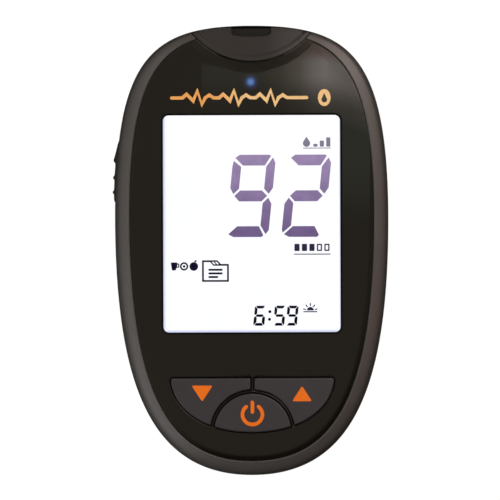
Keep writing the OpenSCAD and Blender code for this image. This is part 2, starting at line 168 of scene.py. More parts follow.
def inside(poly, p):
    a, b = poly, np.roll(poly, -1, 0)
    out = np.zeros(len(p), bool)
    dy = b[:, 1] - a[:, 1]
    k = (b[:, 0] - a[:, 0]) / np.where(dy == 0, 1e-12, dy)
    for i in range(0, len(p), 20000):
        q = p[i:i + 20000]
        y = q[:, 1][:, None]
        cross = ((a[:, 1] > y) != (b[:, 1] > y)) & (q[:, 0][:, None] < a[:, 0] + (y - a[:, 1]) * k)
        out[i:i + 20000] = cross.sum(1) % 2 == 1
    return out


LENS_RING = ring(1, 0, 150)


def smin(a, b, k):
    h = np.clip(0.5 + 0.5 * (b - a) / k, 0, 1)
    return b * (1 - h) + a * h - k * h * (1 - h)


def dome_z(p):
    v = p - C7
    s = np.hypot(v[:, 0], v[:, 1]) / R_dome(np.arctan2(v[:, 1], v[:, 0]))
    return 18 - 0.943 * s ** 2.2


def lens_z(p, port=True, edge=None):
    """Height of the lens: a dome that rolls over at its edge and slopes into the strip port."""
    p = np.asarray(p, float)
    z = dome_z(p)
    d = seg_dist(p, LENS_RING) if edge is None else edge
    q = np.clip((1.15 - d) / 1.15, 0, 1.1)
    z = z - 0.44 * q ** 2
    if port:
        r = np.hypot(p[:, 0] - PC[0], p[:, 1] - PC[1])
        z = smin(z, 16.2 + (r - 15.55) * 0.7347, 0.10)
    return z


# ============================================================ button field


FC = [np.array(v, float) for v in ((16.25, -26.04), (15.7, -31.7), (9.7, -36.3), (0, -36.3))]
FX = 0.05
MAIN_C = np.array([FX, -36.3])
MAIN_R = 7.68


def field_poly(n=70):
    t = np.linspace(0, 1, n)
    p = bez(FC, t)
    a = np.linspace(math.pi, math.pi / 2, 7)
    ul = np.stack([-15.75 + 0.5 * np.cos(a), -26.04 + 0.5 * np.sin(a)], 1)
    a = np.linspace(math.pi / 2, 0, 7)[:-1]
    ur = np.stack([15.75 + 0.5 * np.cos(a), -26.04 + 0.5 * np.sin(a)], 1)
    low = p[::-1][1:-1] * (-1, 1)
    return np.concatenate([ul, ur, p, low]) + (FX, 0)


FIELD = field_poly()


def key_fn(which, d, e=None, k=0.3, g=None):
    """Positive inside the footprint of a key grown by d, and by e along the field's own edge."""
    e = d if e is None else e
    known = g

    def fn(p):
        g = (seg_dist(p, FIELD) if known is None else known) + e
        r = np.hypot(p[:, 0] - MAIN_C[0], p[:, 1] - MAIN_C[1])
        if which == 0:
            return smin(g, MAIN_R + d - r, k)
        s = smin(r - (MAIN_R + 0.80 - d), which * (p[:, 0] - FX) - (0.40 - d), k)
        return smin(g, s, k)
    return fn


KEY_P = {-1: np.array([-10.0, -28.5]), 1: np.array([10.0, -28.5]), 0: np.array([0.0, -32.4])}


TH_KEY = np.linspace(0, 2 * math.pi, 420, endpoint=False) + 0.003
R_KEY = np.linspace(0, 21, 211)


def first_out(fn, val, c, th, rs):
    """Where each ray from c first leaves fn > 0. val holds fn on the grid of rays and radii."""
    u = np.stack([np.cos(th), np.sin(th)], 1)
    j = np.argmax(val < 0, axis=1)
    i = np.arange(len(th))
    lo, hi = rs[j - 1], rs[j]
    flo, fhi = val[i, j - 1], val[i, j]
    for _ in range(5):
        m = lo + (hi - lo) * np.clip(flo / (flo - fhi), 0.02, 0.98)
        fm = fn(c + u * m[:, None])
        out = fm < 0
        hi, fhi = np.where(out, m, hi), np.where(out, fm, fhi)
        lo, flo = np.where(out, lo, m), np.where(out, flo, fm)
    m = lo + (hi - lo) * np.clip(flo / (flo - fhi), 0, 1)
    return c + u * m[:, None]


def ray_loop(fn, c, th, rmax=22.0):
    u = np.stack([np.cos(th), np.sin(th)], 1)
    rs = np.linspace(0, rmax, 60)
    val = fn((c + u[:, None, :] * rs[None, :, None]).reshape(-1, 2)).reshape(len(th), len(rs))
    return first_out(fn, val, c, th, rs)


KEY_GRID = {}


def key_loop(which, d, e=None):
    """Outline of a key grown by d, and by e along the field's edge."""
    c = KEY_P[which]
    if which not in KEY_GRID:
        u = np.stack([np.cos(TH_KEY), np.sin(TH_KEY)], 1)
        q = (c + u[:, None, :] * R_KEY[None, :, None]).reshape(-1, 2)
        KEY_GRID[which] = (q, seg_dist(q, FIELD))
    q, g = KEY_GRID[which]
    val = key_fn(which, d, e, g=g)(q).reshape(len(TH_KEY), len(R_KEY))
    return first_out(key_fn(which, d, e), val, c, TH_KEY, R_KEY)


# ============================================================ mesh helpers


def rr(x0, x1, y0, y1, r, n=8):
    out = []
    for cx, cy, q in ((x1 - r, y1 - r, 0), (x0 + r, y1 - r, 90), (x0 + r, y0 + r, 180), (x1 - r, y0 + r, 270)):
        for i in range(n + 1):
            a = math.radians(q + 90 * i / n)
            out.append((cx + r * math.cos(a), cy + r * math.sin(a)))
    return np.array(out)


def fine(loop, step):
    """The same closed loop with its long edges divided."""
    out = []
    for a, b in zip(loop, np.roll(loop, -1, 0)):
        n = max(1, int(np.linalg.norm(b - a) / step + 0.5))
        out += [a + (b - a) * i / n for i in range(n)]
    return np.array(out)


def circle(c, r, n=96, a0=0.0):
    a = np.linspace(0, 2 * math.pi, n, endpoint=False) + a0
    return np.stack([c[0] + r * np.cos(a), c[1] + r * np.sin(a)], 1)


def up(loop, z):
    z = np.broadcast_to(np.asarray(z, float), (len(loop),))
    return np.concatenate([loop, z[:, None]], 1)


def loft(rings, closed=False):
    n, m = len(rings[0]), len(rings)
    verts = np.concatenate(rings)
    faces = []
    for j in range(m if closed else m - 1):
        a, b = j * n, ((j + 1) % m) * n
        faces += [(a + i, a + (i + 1) % n, b + (i + 1) % n, b + i) for i in range(n)]
    if not closed:
        faces.append(tuple(range(n - 1, -1, -1)))
        faces.append(tuple(range((m - 1) * n, m * n)))
    return verts, faces


def prism(loop, z0, z1):
    return loft([up(loop, z0), up(loop, z1)])


def box(x0, x1, y0, y1, z0, z1):
    return prism(np.array([(x0, y0), (x1, y0), (x1, y1), (x0, y1)], float), z0, z1)


def join(*parts):
    verts, faces, k = [], [], 0
    for v, f in parts:
        verts.append(np.asarray(v, float))
        faces += [tuple(i + k for i in q) for q in f]
        k += len(v)
    return np.concatenate(verts), faces


def moved(part, matrix):
    v = np.asarray(part[0], float)
    m = np.array(matrix)
    return v @ m[:3, :3].T + m[:3, 3], part[1]


AT_EJ = Matrix.Translation((-25.15, 9, 0)) @ Matrix.Rotation(math.radians(-5.7), 4, "Z")


def patch(outer, holes, points=(), extra=()):
    """Triangles inside a closed loop and outside the hole loops. Extra loops are constraints, points are loose.
    Returns 2D verts, faces and, for each vert, the index of the input point that it came from."""
    loops = [outer, *holes, *extra]
    allp = np.concatenate([*loops, *([points] if len(points) else [])])
    edges, k = [], 0
    for lp in loops:
        n = len(lp)
        edges += [(k + i, k + (i + 1) % n) for i in range(n)]
        k += n
    vs, _, fs, ov, _, _ = delaunay_2d_cdt([Vector(p) for p in allp], edges, [], 0, 1e-7)
    vs = np.array([(v.x, v.y) for v in vs])
    src = np.array([o[0] if o else -1 for o in ov])
    fs = np.array([f for f in fs if len(f) == 3], int)
    cen = vs[fs].mean(1)
    keep = inside(outer, cen)
    for h in holes:
        keep &= ~inside(h, cen)
    fs = fs[keep]
    a, b, c = vs[fs[:, 0]], vs[fs[:, 1]], vs[fs[:, 2]]
    area = (b[:, 0] - a[:, 0]) * (c[:, 1] - a[:, 1]) - (b[:, 1] - a[:, 1]) * (c[:, 0] - a[:, 0])
    fs[area < 0] = fs[area < 0][:, ::-1]
    fs = fs[np.abs(area) > 1e-10]
    return vs, fs, src


def hexgrid(x0, x1, y0, y1, step):
    out, j, y = [], 0, y0
    while y <= y1:
        xs = np.arange(x0 + (step / 2 if j % 2 else 0), x1, step)
        out.append(np.stack([xs, np.full(len(xs), y)], 1))
        y += step * 0.866
        j += 1
    return np.concatenate(out)


def make(name, parts, mats, body="root", nodes=(), sharp=32, weld=2e-5, keep=False, fix=True):
    """A mesh object, in metres, from (verts, faces) in millimetres."""
    v, f = parts if isinstance(parts, tuple) else join(*parts)
    me = bpy.data.meshes.new(name)
    me.from_pydata([tuple(float(c) * MM for c in p) for p in v], [], [tuple(int(i) for i in q) for q in f])
    bm = bmesh.new()
    bm.from_mesh(me)
    if weld:
        bmesh.ops.remove_doubles(bm, verts=bm.verts, dist=weld * MM)
        bmesh.ops.dissolve_degenerate(bm, edges=bm.edges, dist=weld * MM * 0.2)
        bmesh.ops.delete(bm, geom=[x for x in bm.verts if not x.link_faces], context="VERTS")
    if fix:
        bmesh.ops.recalc_face_normals(bm, faces=bm.faces)
    bm.to_mesh(me)
    bm.free()
    ob = bpy.data.objects.new(name, me)
    scene.collection.objects.link(ob)
    for m in mats:
        me.materials.append(m)
    if not keep:
        finish_piece(ob, body, nodes, sharp)
    return ob


def finish_piece(ob, body, nodes=(), sharp=32):
    for p in ob.data.polygons:
        p.use_smooth = True
    ob.data.set_sharp_from_angle(angle=math.radians(sharp))
    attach(ob, body)
    if nodes:
        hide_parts(*nodes)
    return ob


def cut(ob, parts, op="DIFFERENCE", own=False):
    """Boolean of ob with a solid or a group of separate solids."""
    other = make(ob.name + "_tool", parts, ob.data.materials[:], keep=True)
    mod = ob.modifiers.new("b", "BOOLEAN")
    mod.operation, mod.solver, mod.object = op, "EXACT", other
    mod.use_self = own
    dg = bpy.context.evaluated_depsgraph_get()
    dg.update()
    new = bpy.data.meshes.new_from_object(ob.evaluated_get(dg))
    ob.modifiers.clear()
    old = ob.data
    ob.data = new
    new.name = ob.name
    bpy.data.meshes.remove(old)
    me = other.data
    bpy.data.objects.remove(other)
    bpy.data.meshes.remove(me)
    return ob


def tidy(ob, dist=0.002):
    bm = bmesh.new()
    bm.from_mesh(ob.data)
    bmesh.ops.remove_doubles(bm, verts=bm.verts, dist=dist * MM)
    bmesh.ops.dissolve_degenerate(bm, edges=bm.edges, dist=dist * MM)
    bm.to_mesh(ob.data)
    bm.free()


# ============================================================ materials


class Tree:
    """Short forms for node building."""

    def __init__(self, name):
        self.m = bpy.data.materials.new(name)
        self.m.use_nodes = True
        self.t = self.m.node_tree
        self.t.nodes.clear()
        self.out = self.n("ShaderNodeOutputMaterial")
        self.obj = self.n("ShaderNodeTexCoord").outputs["Object"]

    def n(self, kind, **kw):
        x = self.t.nodes.new(kind)
        for k, v in kw.items():
            setattr(x, k, v)
        return x

    def link(self, a, b):
        self.t.links.new(a, b)

    def put(self, node, key, value):
        s = node.inputs[key]
        if isinstance(value, bpy.types.NodeSocket):
            self.link(value, s)
        else:
            s.default_value = value

    def math(self, op, *args, clamp=False):
        x = self.n("ShaderNodeMath", operation=op, use_clamp=clamp)
        for i, a in enumerate(args):
            self.put(x, i, a)
        return x.outputs[0]

    def scaled(self, s, vec=None):
        x = self.n("ShaderNodeMapping")
        self.put(x, "Scale", s if hasattr(s, "__len__") else (s, s, s))
        self.link(vec or self.obj, x.inputs["Vector"])
        return x.outputs[0]

    def noise(self, scale, detail=2.0, rough=0.5, vec=None, out="Fac", distort=0.0):
        x = self.n("ShaderNodeTexNoise")
        self.put(x, "Scale", scale)
        self.put(x, "Detail", detail)
        self.put(x, "Roughness", rough)
        self.put(x, "Distortion", distort)
        self.link(vec or self.obj, x.inputs["Vector"])
        return x.outputs[out]

    def ramp(self, fac, stops, interp="LINEAR"):
        x = self.n("ShaderNodeValToRGB")
        x.color_ramp.interpolation = interp
        e = x.color_ramp.elements
        while len(e) < len(stops):
            e.new(0.5)
        for i, (p, c) in enumerate(stops):
            e[i].position = p
            e[i].color = (*c, 1) if len(c) == 3 else c
        self.link(fac, x.inputs["Fac"])
        return x.outputs["Color"]

    def maprange(self, v, a, b, c, d, smooth=False):
        x = self.n("ShaderNodeMapRange")
        if smooth:
            x.interpolation_type = "SMOOTHSTEP"
        for k, val in zip(("From Min", "From Max", "To Min", "To Max"), (a, b, c, d)):
            x.inputs[k].default_value = val
        self.link(v, x.inputs["Value"])
        return x.outputs["Result"]

    def xyz(self, vec=None):
        x = self.n("ShaderNodeSeparateXYZ")
        self.link(vec or self.obj, x.inputs[0])
        return x.outputs

    def mixc(self, fac, a, b, blend="MIX"):
        x = self.n("ShaderNodeMix", data_type="RGBA", blend_type=blend)
        self.put(x, 0, fac)
        for i, v in ((6, a), (7, b)):
            if isinstance(v, bpy.types.NodeSocket):
                self.link(v, x.inputs[i])
            else:
                x.inputs[i].default_value = (*v, 1)
        return x.outputs[2]

    def bump(self, height, strength, distance, normal=None):
        x = self.n("ShaderNodeBump")
        self.put(x, "Strength", strength)
        self.put(x, "Distance", distance)
        self.link(height, x.inputs["Height"])
        if normal is not None:
            self.link(normal, x.inputs["Normal"])
        return x.outputs[0]

    def bsdf(self, **kw):
        x = self.n("ShaderNodeBsdfPrincipled")
        for k, v in kw.items():
            key = k.replace("_", " ")
            s = x.inputs[key]
            if isinstance(v, bpy.types.NodeSocket):
                self.link(v, s)
            elif s.type == "RGBA":
                s.default_value = (*v, 1) if len(v) == 3 else v
            else:
                s.default_value = v
        self.link(x.outputs[0], self.out.inputs["Surface"])
        return x


def lin(*rgb):
    """sRGB 0-255 to linear."""
    return tuple((c / 255 / 12.92) if c <= 10.3 else ((c / 255 + 0.055) / 1.055) ** 2.4 for c in rgb)


def scale(c, k):
    return tuple(v * k for v in c)


def plastic(name, color, rough=(0.4, 0.5), grain=0.00022, depth=0.35, mottle=0.06, metal=0.0, ior=1.5, coat=0.0, wear=None,
            grain_dist=0.00002):
    """Moulded plastic: spark-eroded grain, faint flow mottling and a little variation in gloss."""
    t = Tree(name)
    big = t.noise(90, 3, 0.55)
    fine_n = t.noise(1 / grain, 2, 0.6)
    col = t.ramp(big, [(0.3, scale(color, 1 - mottle)), (0.7, scale(color, 1 + mottle))])
    speck = t.ramp(fine_n, [(0.35, (0.9, 0.9, 0.9)), (0.65, (1.08, 1.08, 1.08))])
    col = t.mixc(0.8, col, speck, "MULTIPLY")
    rg = t.maprange(t.noise(260, 3, 0.6), 0.3, 0.7, rough[0], rough[1])
    nrm = t.bump(fine_n, depth, grain_dist)
    t.bsdf(Base_Color=col, Roughness=rg, Normal=nrm, Metallic=metal, IOR=ior, Coat_Weight=coat)
    return t.m


# the grey rim and the cap at the port
bezel_mat = plastic("bezel_grey", (0.050, 0.0455, 0.0442), rough=(0.32, 0.40), grain=0.00016, depth=0.30, mottle=0.05)
cap_mat = plastic("cap_grey", (0.0130, 0.0112, 0.0110), rough=(0.42, 0.52), grain=0.00016, depth=0.28, mottle=0.05)
key_mat = plastic("key_grey", (0.0336, 0.0290, 0.0350), rough=(0.42, 0.52), grain=0.00014, depth=0.22, mottle=0.05)
cover_mat = plastic("cover_black", (0.016, 0.0155, 0.0155), rough=(0.5, 0.62), grain=0.00028, depth=0.5, mottle=0.08)
door_mat = plastic("door_black", (0.0175, 0.017, 0.017), rough=(0.48, 0.6), grain=0.00028, depth=0.5, mottle=0.08)
slider_mat = plastic("slider_black", (0.012, 0.012, 0.012), rough=(0.36, 0.46), grain=0.0002, depth=0.3, mottle=0.06)
guide_mat = plastic("guide_black", (0.006, 0.006, 0.006), rough=(0.4, 0.5), grain=0.0002, depth=0.2, mottle=0.06)


def guide_painted_shade_material():
    """The strip guide's plastic with painted shadow: its colour and specular fall to near black towards the mouth of
    the port.
    """
    t = Tree("guide_mouth_painted_shade")
    x, y, z = t.xyz()
    n = t.noise(900, 3, 0.6)
    # painted shadow: near-black colour and low specular towards the port mouth
    painted_shade = t.maprange(y, 0.04395, 0.0443, 0.0, 1.0, smooth=True)
    col = t.mixc(painted_shade, t.ramp(n, [(0.3, (0.0056,) * 3), (0.7, (0.0064,) * 3)]), (0.0016, 0.0016, 0.0014))
    t.bsdf(Base_Color=col, Roughness=t.maprange(n, 0.3, 0.7, 0.42, 0.52), Specular_IOR_Level=t.maprange(y, 0.04395, 0.0443, 0.3, 0.03),
           Normal=t.bump(n, 0.2, 0.00001))
    return t.m


guide_painted_shade_mat = guide_painted_shade_material()


def lens_material():
    """High-gloss black acrylic with a blue status light shining through a thinned spot."""
    t = Tree("lens_black")
    base = t.ramp(t.noise(60, 2, 0.5), [(0.3, (0.0040, 0.0032, 0.0023)), (0.7, (0.0050, 0.0040, 0.0029))])
    smudge = t.maprange(t.noise(120, 4, 0.6, distort=0.4), 0.35, 0.75, 0.018, 0.035)
    x, y, z = t.xyz()
    dx = t.math("SUBTRACT", x, -0.00012)
    dy = t.math("SUBTRACT", y, 0.03346)
    r = t.math("SQRT", t.math("ADD", t.math("MULTIPLY", dx, dx), t.math("MULTIPLY", dy, dy)))
    halo = t.maprange(r, 0.0, 0.0019, 1.0, 0.0, smooth=True)
    core = t.maprange(r, 0.0001, 0.0011, 1.0, 0.0, smooth=True)
    glow = t.math("ADD", t.math("MULTIPLY", halo, 0.22), t.math("MULTIPLY", core, 0.78))
    t.bsdf(Base_Color=base, Roughness=smudge, IOR=1.49, Emission_Color=(0.085, 0.19, 0.50), Emission_Strength=glow)
    return t.m


lens_mat = lens_material()


def slope_material():
    """The lens's own plastic with a satin finish on the slope at the port, and a painted highlight: its colour lightens
    towards the right end.
    """
    t = Tree("lens_satin_painted_highlight")
    x, y, z = t.xyz()
    n = t.noise(900, 3, 0.6)
    # painted highlight: base colour lighter towards +x
    col = t.ramp(t.maprange(x, 0.004, 0.0125, 0.0, 1.0), [(0.0, (0.0138, 0.0129, 0.0101)), (0.5, (0.020, 0.0178, 0.0143)), (1.0, (0.044, 0.034, 0.029))])
    col = t.mixc(1.0, col, t.ramp(n, [(0.3, (0.94,) * 3), (0.7, (1.06,) * 3)]), "MULTIPLY")
    t.bsdf(Base_Color=col, Roughness=t.maprange(n, 0.3, 0.7, 0.38, 0.46), Specular_IOR_Level=0.06)
    return t.m


slope_painted_highlight_mat = slope_material()


def window_material():
    """Clear window with an anti-reflection coat."""
    t = Tree("lens_clear")
    smudge = t.maprange(t.noise(120, 4, 0.6, distort=0.4), 0.35, 0.75, 0.0, 0.012)
    t.bsdf(Base_Color=(0.97, 0.98, 1.0), Roughness=smudge, IOR=1.12, Transmission_Weight=1.0)
    return t.m


window_mat = window_material()


def lcd_face_material():
    """White backlight that turns blue-violet close to the frame on three sides."""
    t = Tree("lcd_face")
    x, y, z = t.xyz()
    dl = t.math("SUBTRACT", x, -0.01764)
    dr = t.math("MULTIPLY", t.math("SUBTRACT", 0.01765, x), 2.6)
    db = t.math("SUBTRACT", y, -0.01641)
    d = t.math("MINIMUM", t.math("MINIMUM", dl, dr), db)
    edge = t.ramp(t.maprange(d, 0.0, 0.0007, 0.0, 1.0), [(0.0, (0.50, 0.53, 0.72)), (0.28, (0.66, 0.69, 0.84)), (0.60, (0.86, 0.89, 0.98)), (1.0, (1.0, 1.0, 1.0))])
    cloud = t.ramp(t.noise(55, 2, 0.5), [(0.3, (0.985, 0.985, 1.03)), (0.7, (1.03, 1.03, 1.045))])
    col = t.mixc(1.0, edge, cloud, "MULTIPLY")
    t.bsdf(Base_Color=(0.02, 0.02, 0.02), Roughness=0.5, Emission_Color=col, Emission_Strength=1.0)
    return t.m


def lcd_ink(name, low, high, y0, y1):
    """Liquid crystal segments, a little lighter towards the top, with the grain of the diffuser."""
    t = Tree(name)
    x, y, z = t.xyz()
    g = t.maprange(y, y0, y1, 0.0, 1.0)
    col = t.mixc(g, low, high)
    n = t.ramp(t.noise(420, 3, 0.6), [(0.3, (0.9, 0.9, 0.92)), (0.7, (1.12, 1.1, 1.12))])
    col = t.mixc(1.0, col, n, "MULTIPLY")
    t.bsdf(Base_Color=(0.0, 0.0, 0.0), Roughness=0.5, Specular_IOR_Level=0.0, Emission_Color=col, Emission_Strength=1.0)
    return t.m


lcd_mat = lcd_face_material()
seg_mat = lcd_ink("segment_violet", lin(114, 95, 135), lin(157, 137, 173), 0.0036, 0.0186)
seg_dark = lcd_ink("segment_navy", lin(2, 1, 20), lin(24, 18, 46), -0.016, 0.006)
seg_fine = lcd_ink("segment_slate", lin(40, 37, 60), lin(46, 42, 66), -0.016, 0.004)
seg_pale = lcd_ink("segment_grey", lin(126, 119, 136), lin(134, 127, 144), 0.019, 0.023)


def ink(name, color, top=None, x0=0.0, x1=1.0, rough=(0.38, 0.5), spec=0.5):
    """Pad-printed ink with slightly uneven cover."""
    t = Tree(name)
    n = t.noise(2400, 3, 0.6)
    col = t.ramp(n, [(0.3, scale(color, 0.93)), (0.7, scale(color, 1.05))])
    if top:
        x, y, z = t.xyz()
        g = t.maprange(x, x0, x1, 0.0, 1.0)
        col = t.mixc(g, col, t.ramp(n, [(0.3, scale(top, 0.93)), (0.7, scale(top, 1.05))]))
    rg = t.maprange(t.noise(900, 2, 0.5), 0.3, 0.7, *rough)
    t.bsdf(Base_Color=col, Roughness=rg, Normal=t.bump(n, 0.15, 0.00001), Specular_IOR_Level=spec)
    return t.m


orange = ink("ink_orange", (0.86, 0.175, 0.013), rough=(0.5, 0.62), spec=0.12)
gold = ink("ink_gold", (0.84, 0.395, 0.117), top=(0.88, 0.575, 0.27), x0=-0.008, x1=-0.001, rough=(0.5, 0.62), spec=0.12)


# matt black: the printed line round the window, and painted shade at the port mouth on the cover and cap
black_print_and_painted_shade = ink("ink_black_and_painted_shade", (0.0022, 0.0020, 0.0016), rough=(0.6, 0.75), spec=0.06)


def metal(name, color, rough=(0.25, 0.4), stretch=(1, 1, 1), s=900):
    t = Tree(name)
    n = t.noise(s, 3, 0.6, vec=t.scaled(stretch))
    col = t.ramp(n, [(0.3, scale(color, 0.88)), (0.7, scale(color, 1.06))])
    rg = t.maprange(n, 0.3, 0.7, *rough)
    t.bsdf(Base_Color=col, Metallic=1.0, Roughness=rg, Normal=t.bump(n, 0.12, 0.00002))
    return t.m


spring_mat = metal("spring_steel", (0.62, 0.62, 0.64))
screw_mat = metal("screw_steel", (0.42, 0.41, 0.40), rough=(0.3, 0.45))
tin_mat = metal("shield_tin", (0.66, 0.66, 0.67), rough=(0.22, 0.35))
gold_mat = metal("contact_gold", (0.85, 0.6, 0.24), rough=(0.2, 0.32))
acetal_mat = plastic("acetal_white", (0.72, 0.71, 0.68), rough=(0.35, 0.45), grain=0.0003, depth=0.15, mottle=0.03)
silicone_mat = plastic("silicone_grey", (0.10, 0.10, 0.105), rough=(0.55, 0.7), grain=0.0002, depth=0.2, mottle=0.05)
adhesive_mat = plastic("adhesive_foam", (0.03, 0.03, 0.03), rough=(0.7, 0.85), grain=0.0001, depth=0.5, mottle=0.1)
chip_mat = plastic("chip_black", (0.018, 0.018, 0.02), rough=(0.5, 0.62), grain=0.00012, depth=0.3, mottle=0.06)
ceramic_mat = plastic("ceramic_tan", (0.32, 0.23, 0.14), rough=(0.4, 0.55), grain=0.0001, depth=0.2, mottle=0.08)
acrylic_mat = plastic("acrylic_white", (0.82, 0.83, 0.86), rough=(0.1, 0.18), grain=0.0004, depth=0.05, mottle=0.02)
film_mat = plastic("film_grey", (0.52, 0.52, 0.55), rough=(0.2, 0.3), grain=0.0004, depth=0.05, mottle=0.03)


def board_material():
    t = Tree("board_green")
    x, y, z = t.xyz()
    n = t.noise(300, 2, 0.5)
    base = t.ramp(n, [(0.3, (0.008, 0.075, 0.032)), (0.7, (0.012, 0.10, 0.045))])
    w = t.n("ShaderNodeTexWave", wave_type="BANDS", bands_direction="DIAGONAL")
    t.put(w, "Scale", 260.0)
    t.put(w, "Distortion", 5.0)
    t.put(w, "Detail", 1.0)
    t.link(t.obj, w.inputs["Vector"])
    tr = t.ramp(w.outputs["Fac"], [(0.80, (0, 0, 0)), (0.86, (1, 1, 1))])
    col = t.mixc(tr, base, (0.02, 0.17, 0.075))
    rg = t.maprange(n, 0.3, 0.7, 0.28, 0.4)
    t.bsdf(Base_Color=col, Roughness=rg, Normal=t.bump(w.outputs["Fac"], 0.1, 0.00002))
    return t.m


board_mat = board_material()


def glass_material(name, tint):
    t = Tree(name)
    rg = t.maprange(t.noise(200, 2, 0.5), 0.3, 0.7, 0.01, 0.04)
    t.bsdf(Base_Color=tint, Roughness=rg, IOR=1.5, Transmission_Weight=0.6)
    return t.m


glass_mat = glass_material("lcd_glass", (0.75, 0.82, 0.8))
pipe_mat = glass_material("pipe_clear", (0.7, 0.82, 1.0))


def led_material():
    t = Tree("led_blue")
    n = t.noise(1500, 2, 0.5)
    col = t.ramp(n, [(0.3, (0.12, 0.3, 0.85)), (0.7, (0.2, 0.4, 1.0))])
    t.bsdf(Base_Color=col, Roughness=0.3, Emission_Color=col, Emission_Strength=0.6)
    return t.m


led_mat = led_material()


def cell_material(name, y_plus, sign):
    """Shrink-sleeve jacket: slate body, pale band near the plus end, bare metal ends."""
    t = Tree(name)
    x, y, z = t.xyz()
    d = t.math("MULTIPLY", t.math("SUBTRACT", y_plus, y), sign)   # distance from the plus end
    n = t.noise(700, 3, 0.6)
    slate = t.ramp(n, [(0.3, (0.030, 0.045, 0.062)), (0.7, (0.036, 0.053, 0.072))])
    pale = t.ramp(n, [(0.3, (0.50, 0.50, 0.49)), (0.7, (0.56, 0.56, 0.55))])
    band = t.math("MULTIPLY", t.maprange(d, 0.0084, 0.0085, 0, 1), t.maprange(d, 0.0125, 0.0126, 1, 0))
    line = t.math("MULTIPLY", t.maprange(d, 0.0134, 0.01345, 0, 1), t.maprange(d, 0.0139, 0.01395, 1, 0))
    col = t.mixc(t.math("MAXIMUM", band, line), slate, pale)
    steel = t.math("MAXIMUM", t.maprange(d, 0.0016, 0.00162, 1, 0), t.maprange(d, 0.04405, 0.04407, 0, 1))
    col = t.mixc(steel, col, (0.68, 0.68, 0.70))
    rg = t.maprange(n, 0.3, 0.7, 0.22, 0.34)
    t.bsdf(Base_Color=col, Metallic=steel, Roughness=rg, Normal=t.bump(n, 0.06, 0.00002))
    return t.m


# ============================================================ face lens and window

TH = np.unique(np.concatenate([
    np.linspace(-math.pi, math.pi, 600, endpoint=False),
    np.radians(np.arange(-2.6, 2.61, 0.1) + 74.95),
    np.radians(np.arange(-2.6, 2.61, 0.1) + 105.05)]))
U = np.stack([np.cos(TH), np.sin(TH)], 1)


def arc_r(rho):
    w = C7 - PC
    uw = U @ w
    disc = uw ** 2 - w @ w + rho ** 2
    return np.where((disc > 0) & (uw < 0), -uw - np.sqrt(np.maximum(disc, 0)), 1e9)


def lens_loop(a, b):
    return C7 + U * np.minimum(R_in(1, a)(TH), arc_r(15.55 + b))[:, None]


A_IN = [0.04, 0.07, 0.12, 0.20, 0.28, 0.38, 0.50, 0.64, 0.80, 0.98, 1.24, 1.75]
B_IN = [0.0, 0.06, 0.18, 0.40, 0.70, 1.00, 1.26, 1.42, 1.54, 1.66, 1.82, 2.20]
lens_loops = [lens_loop(a, b) for a, b in zip(A_IN, B_IN)]
win_edge = rr(*WIN[:4], WIN[4], 8)
win_loop = fine(win_edge, 0.9)
win_in = fine(rr(WIN[0] + 0.02, WIN[1] - 0.02, WIN[2] + 0.02, WIN[3] - 0.02, WIN[4] - 0.02, 8), 0.9)

hole_d = [0.21, 0.23, 0.265, 0.31, 0.36, 0.6]
hole_drop = [0.11, 0.062, 0.026, 0.008, 0.0, 0.0]
win_d = [0.0, 0.05, 0.12, 0.20, 0.28, 0.36, 0.44, 0.58]
win_drop = [0.125, 0.085, 0.045, 0.018, 0.004, 0.0, 0.0, 0.0]
key_holes = {k: [key_loop(k, d) for d in hole_d[:5]] for k in (-1, 0, 1)}


def hole_grid_ok(p, margin=0.45):
    ok = np.ones(len(p), bool)
    for k in (-1, 0, 1):
        ok &= key_fn(k, 0.21 + margin)(p) < 0
    return ok


grid = hexgrid(-26, 26, -43, 44, 0.85)
g_in = np.minimum(seg_dist(grid, LENS_RING) - 1.95, np.hypot(grid[:, 0], grid[:, 1] - PC[1]) - 15.55 - 2.5)
g_win = seg_dist(grid, win_edge)
lens_pts = grid[(g_in > 0) & (g_win < -0.75) & hole_grid_ok(grid)]
win_pts = grid[g_win > 0.4]


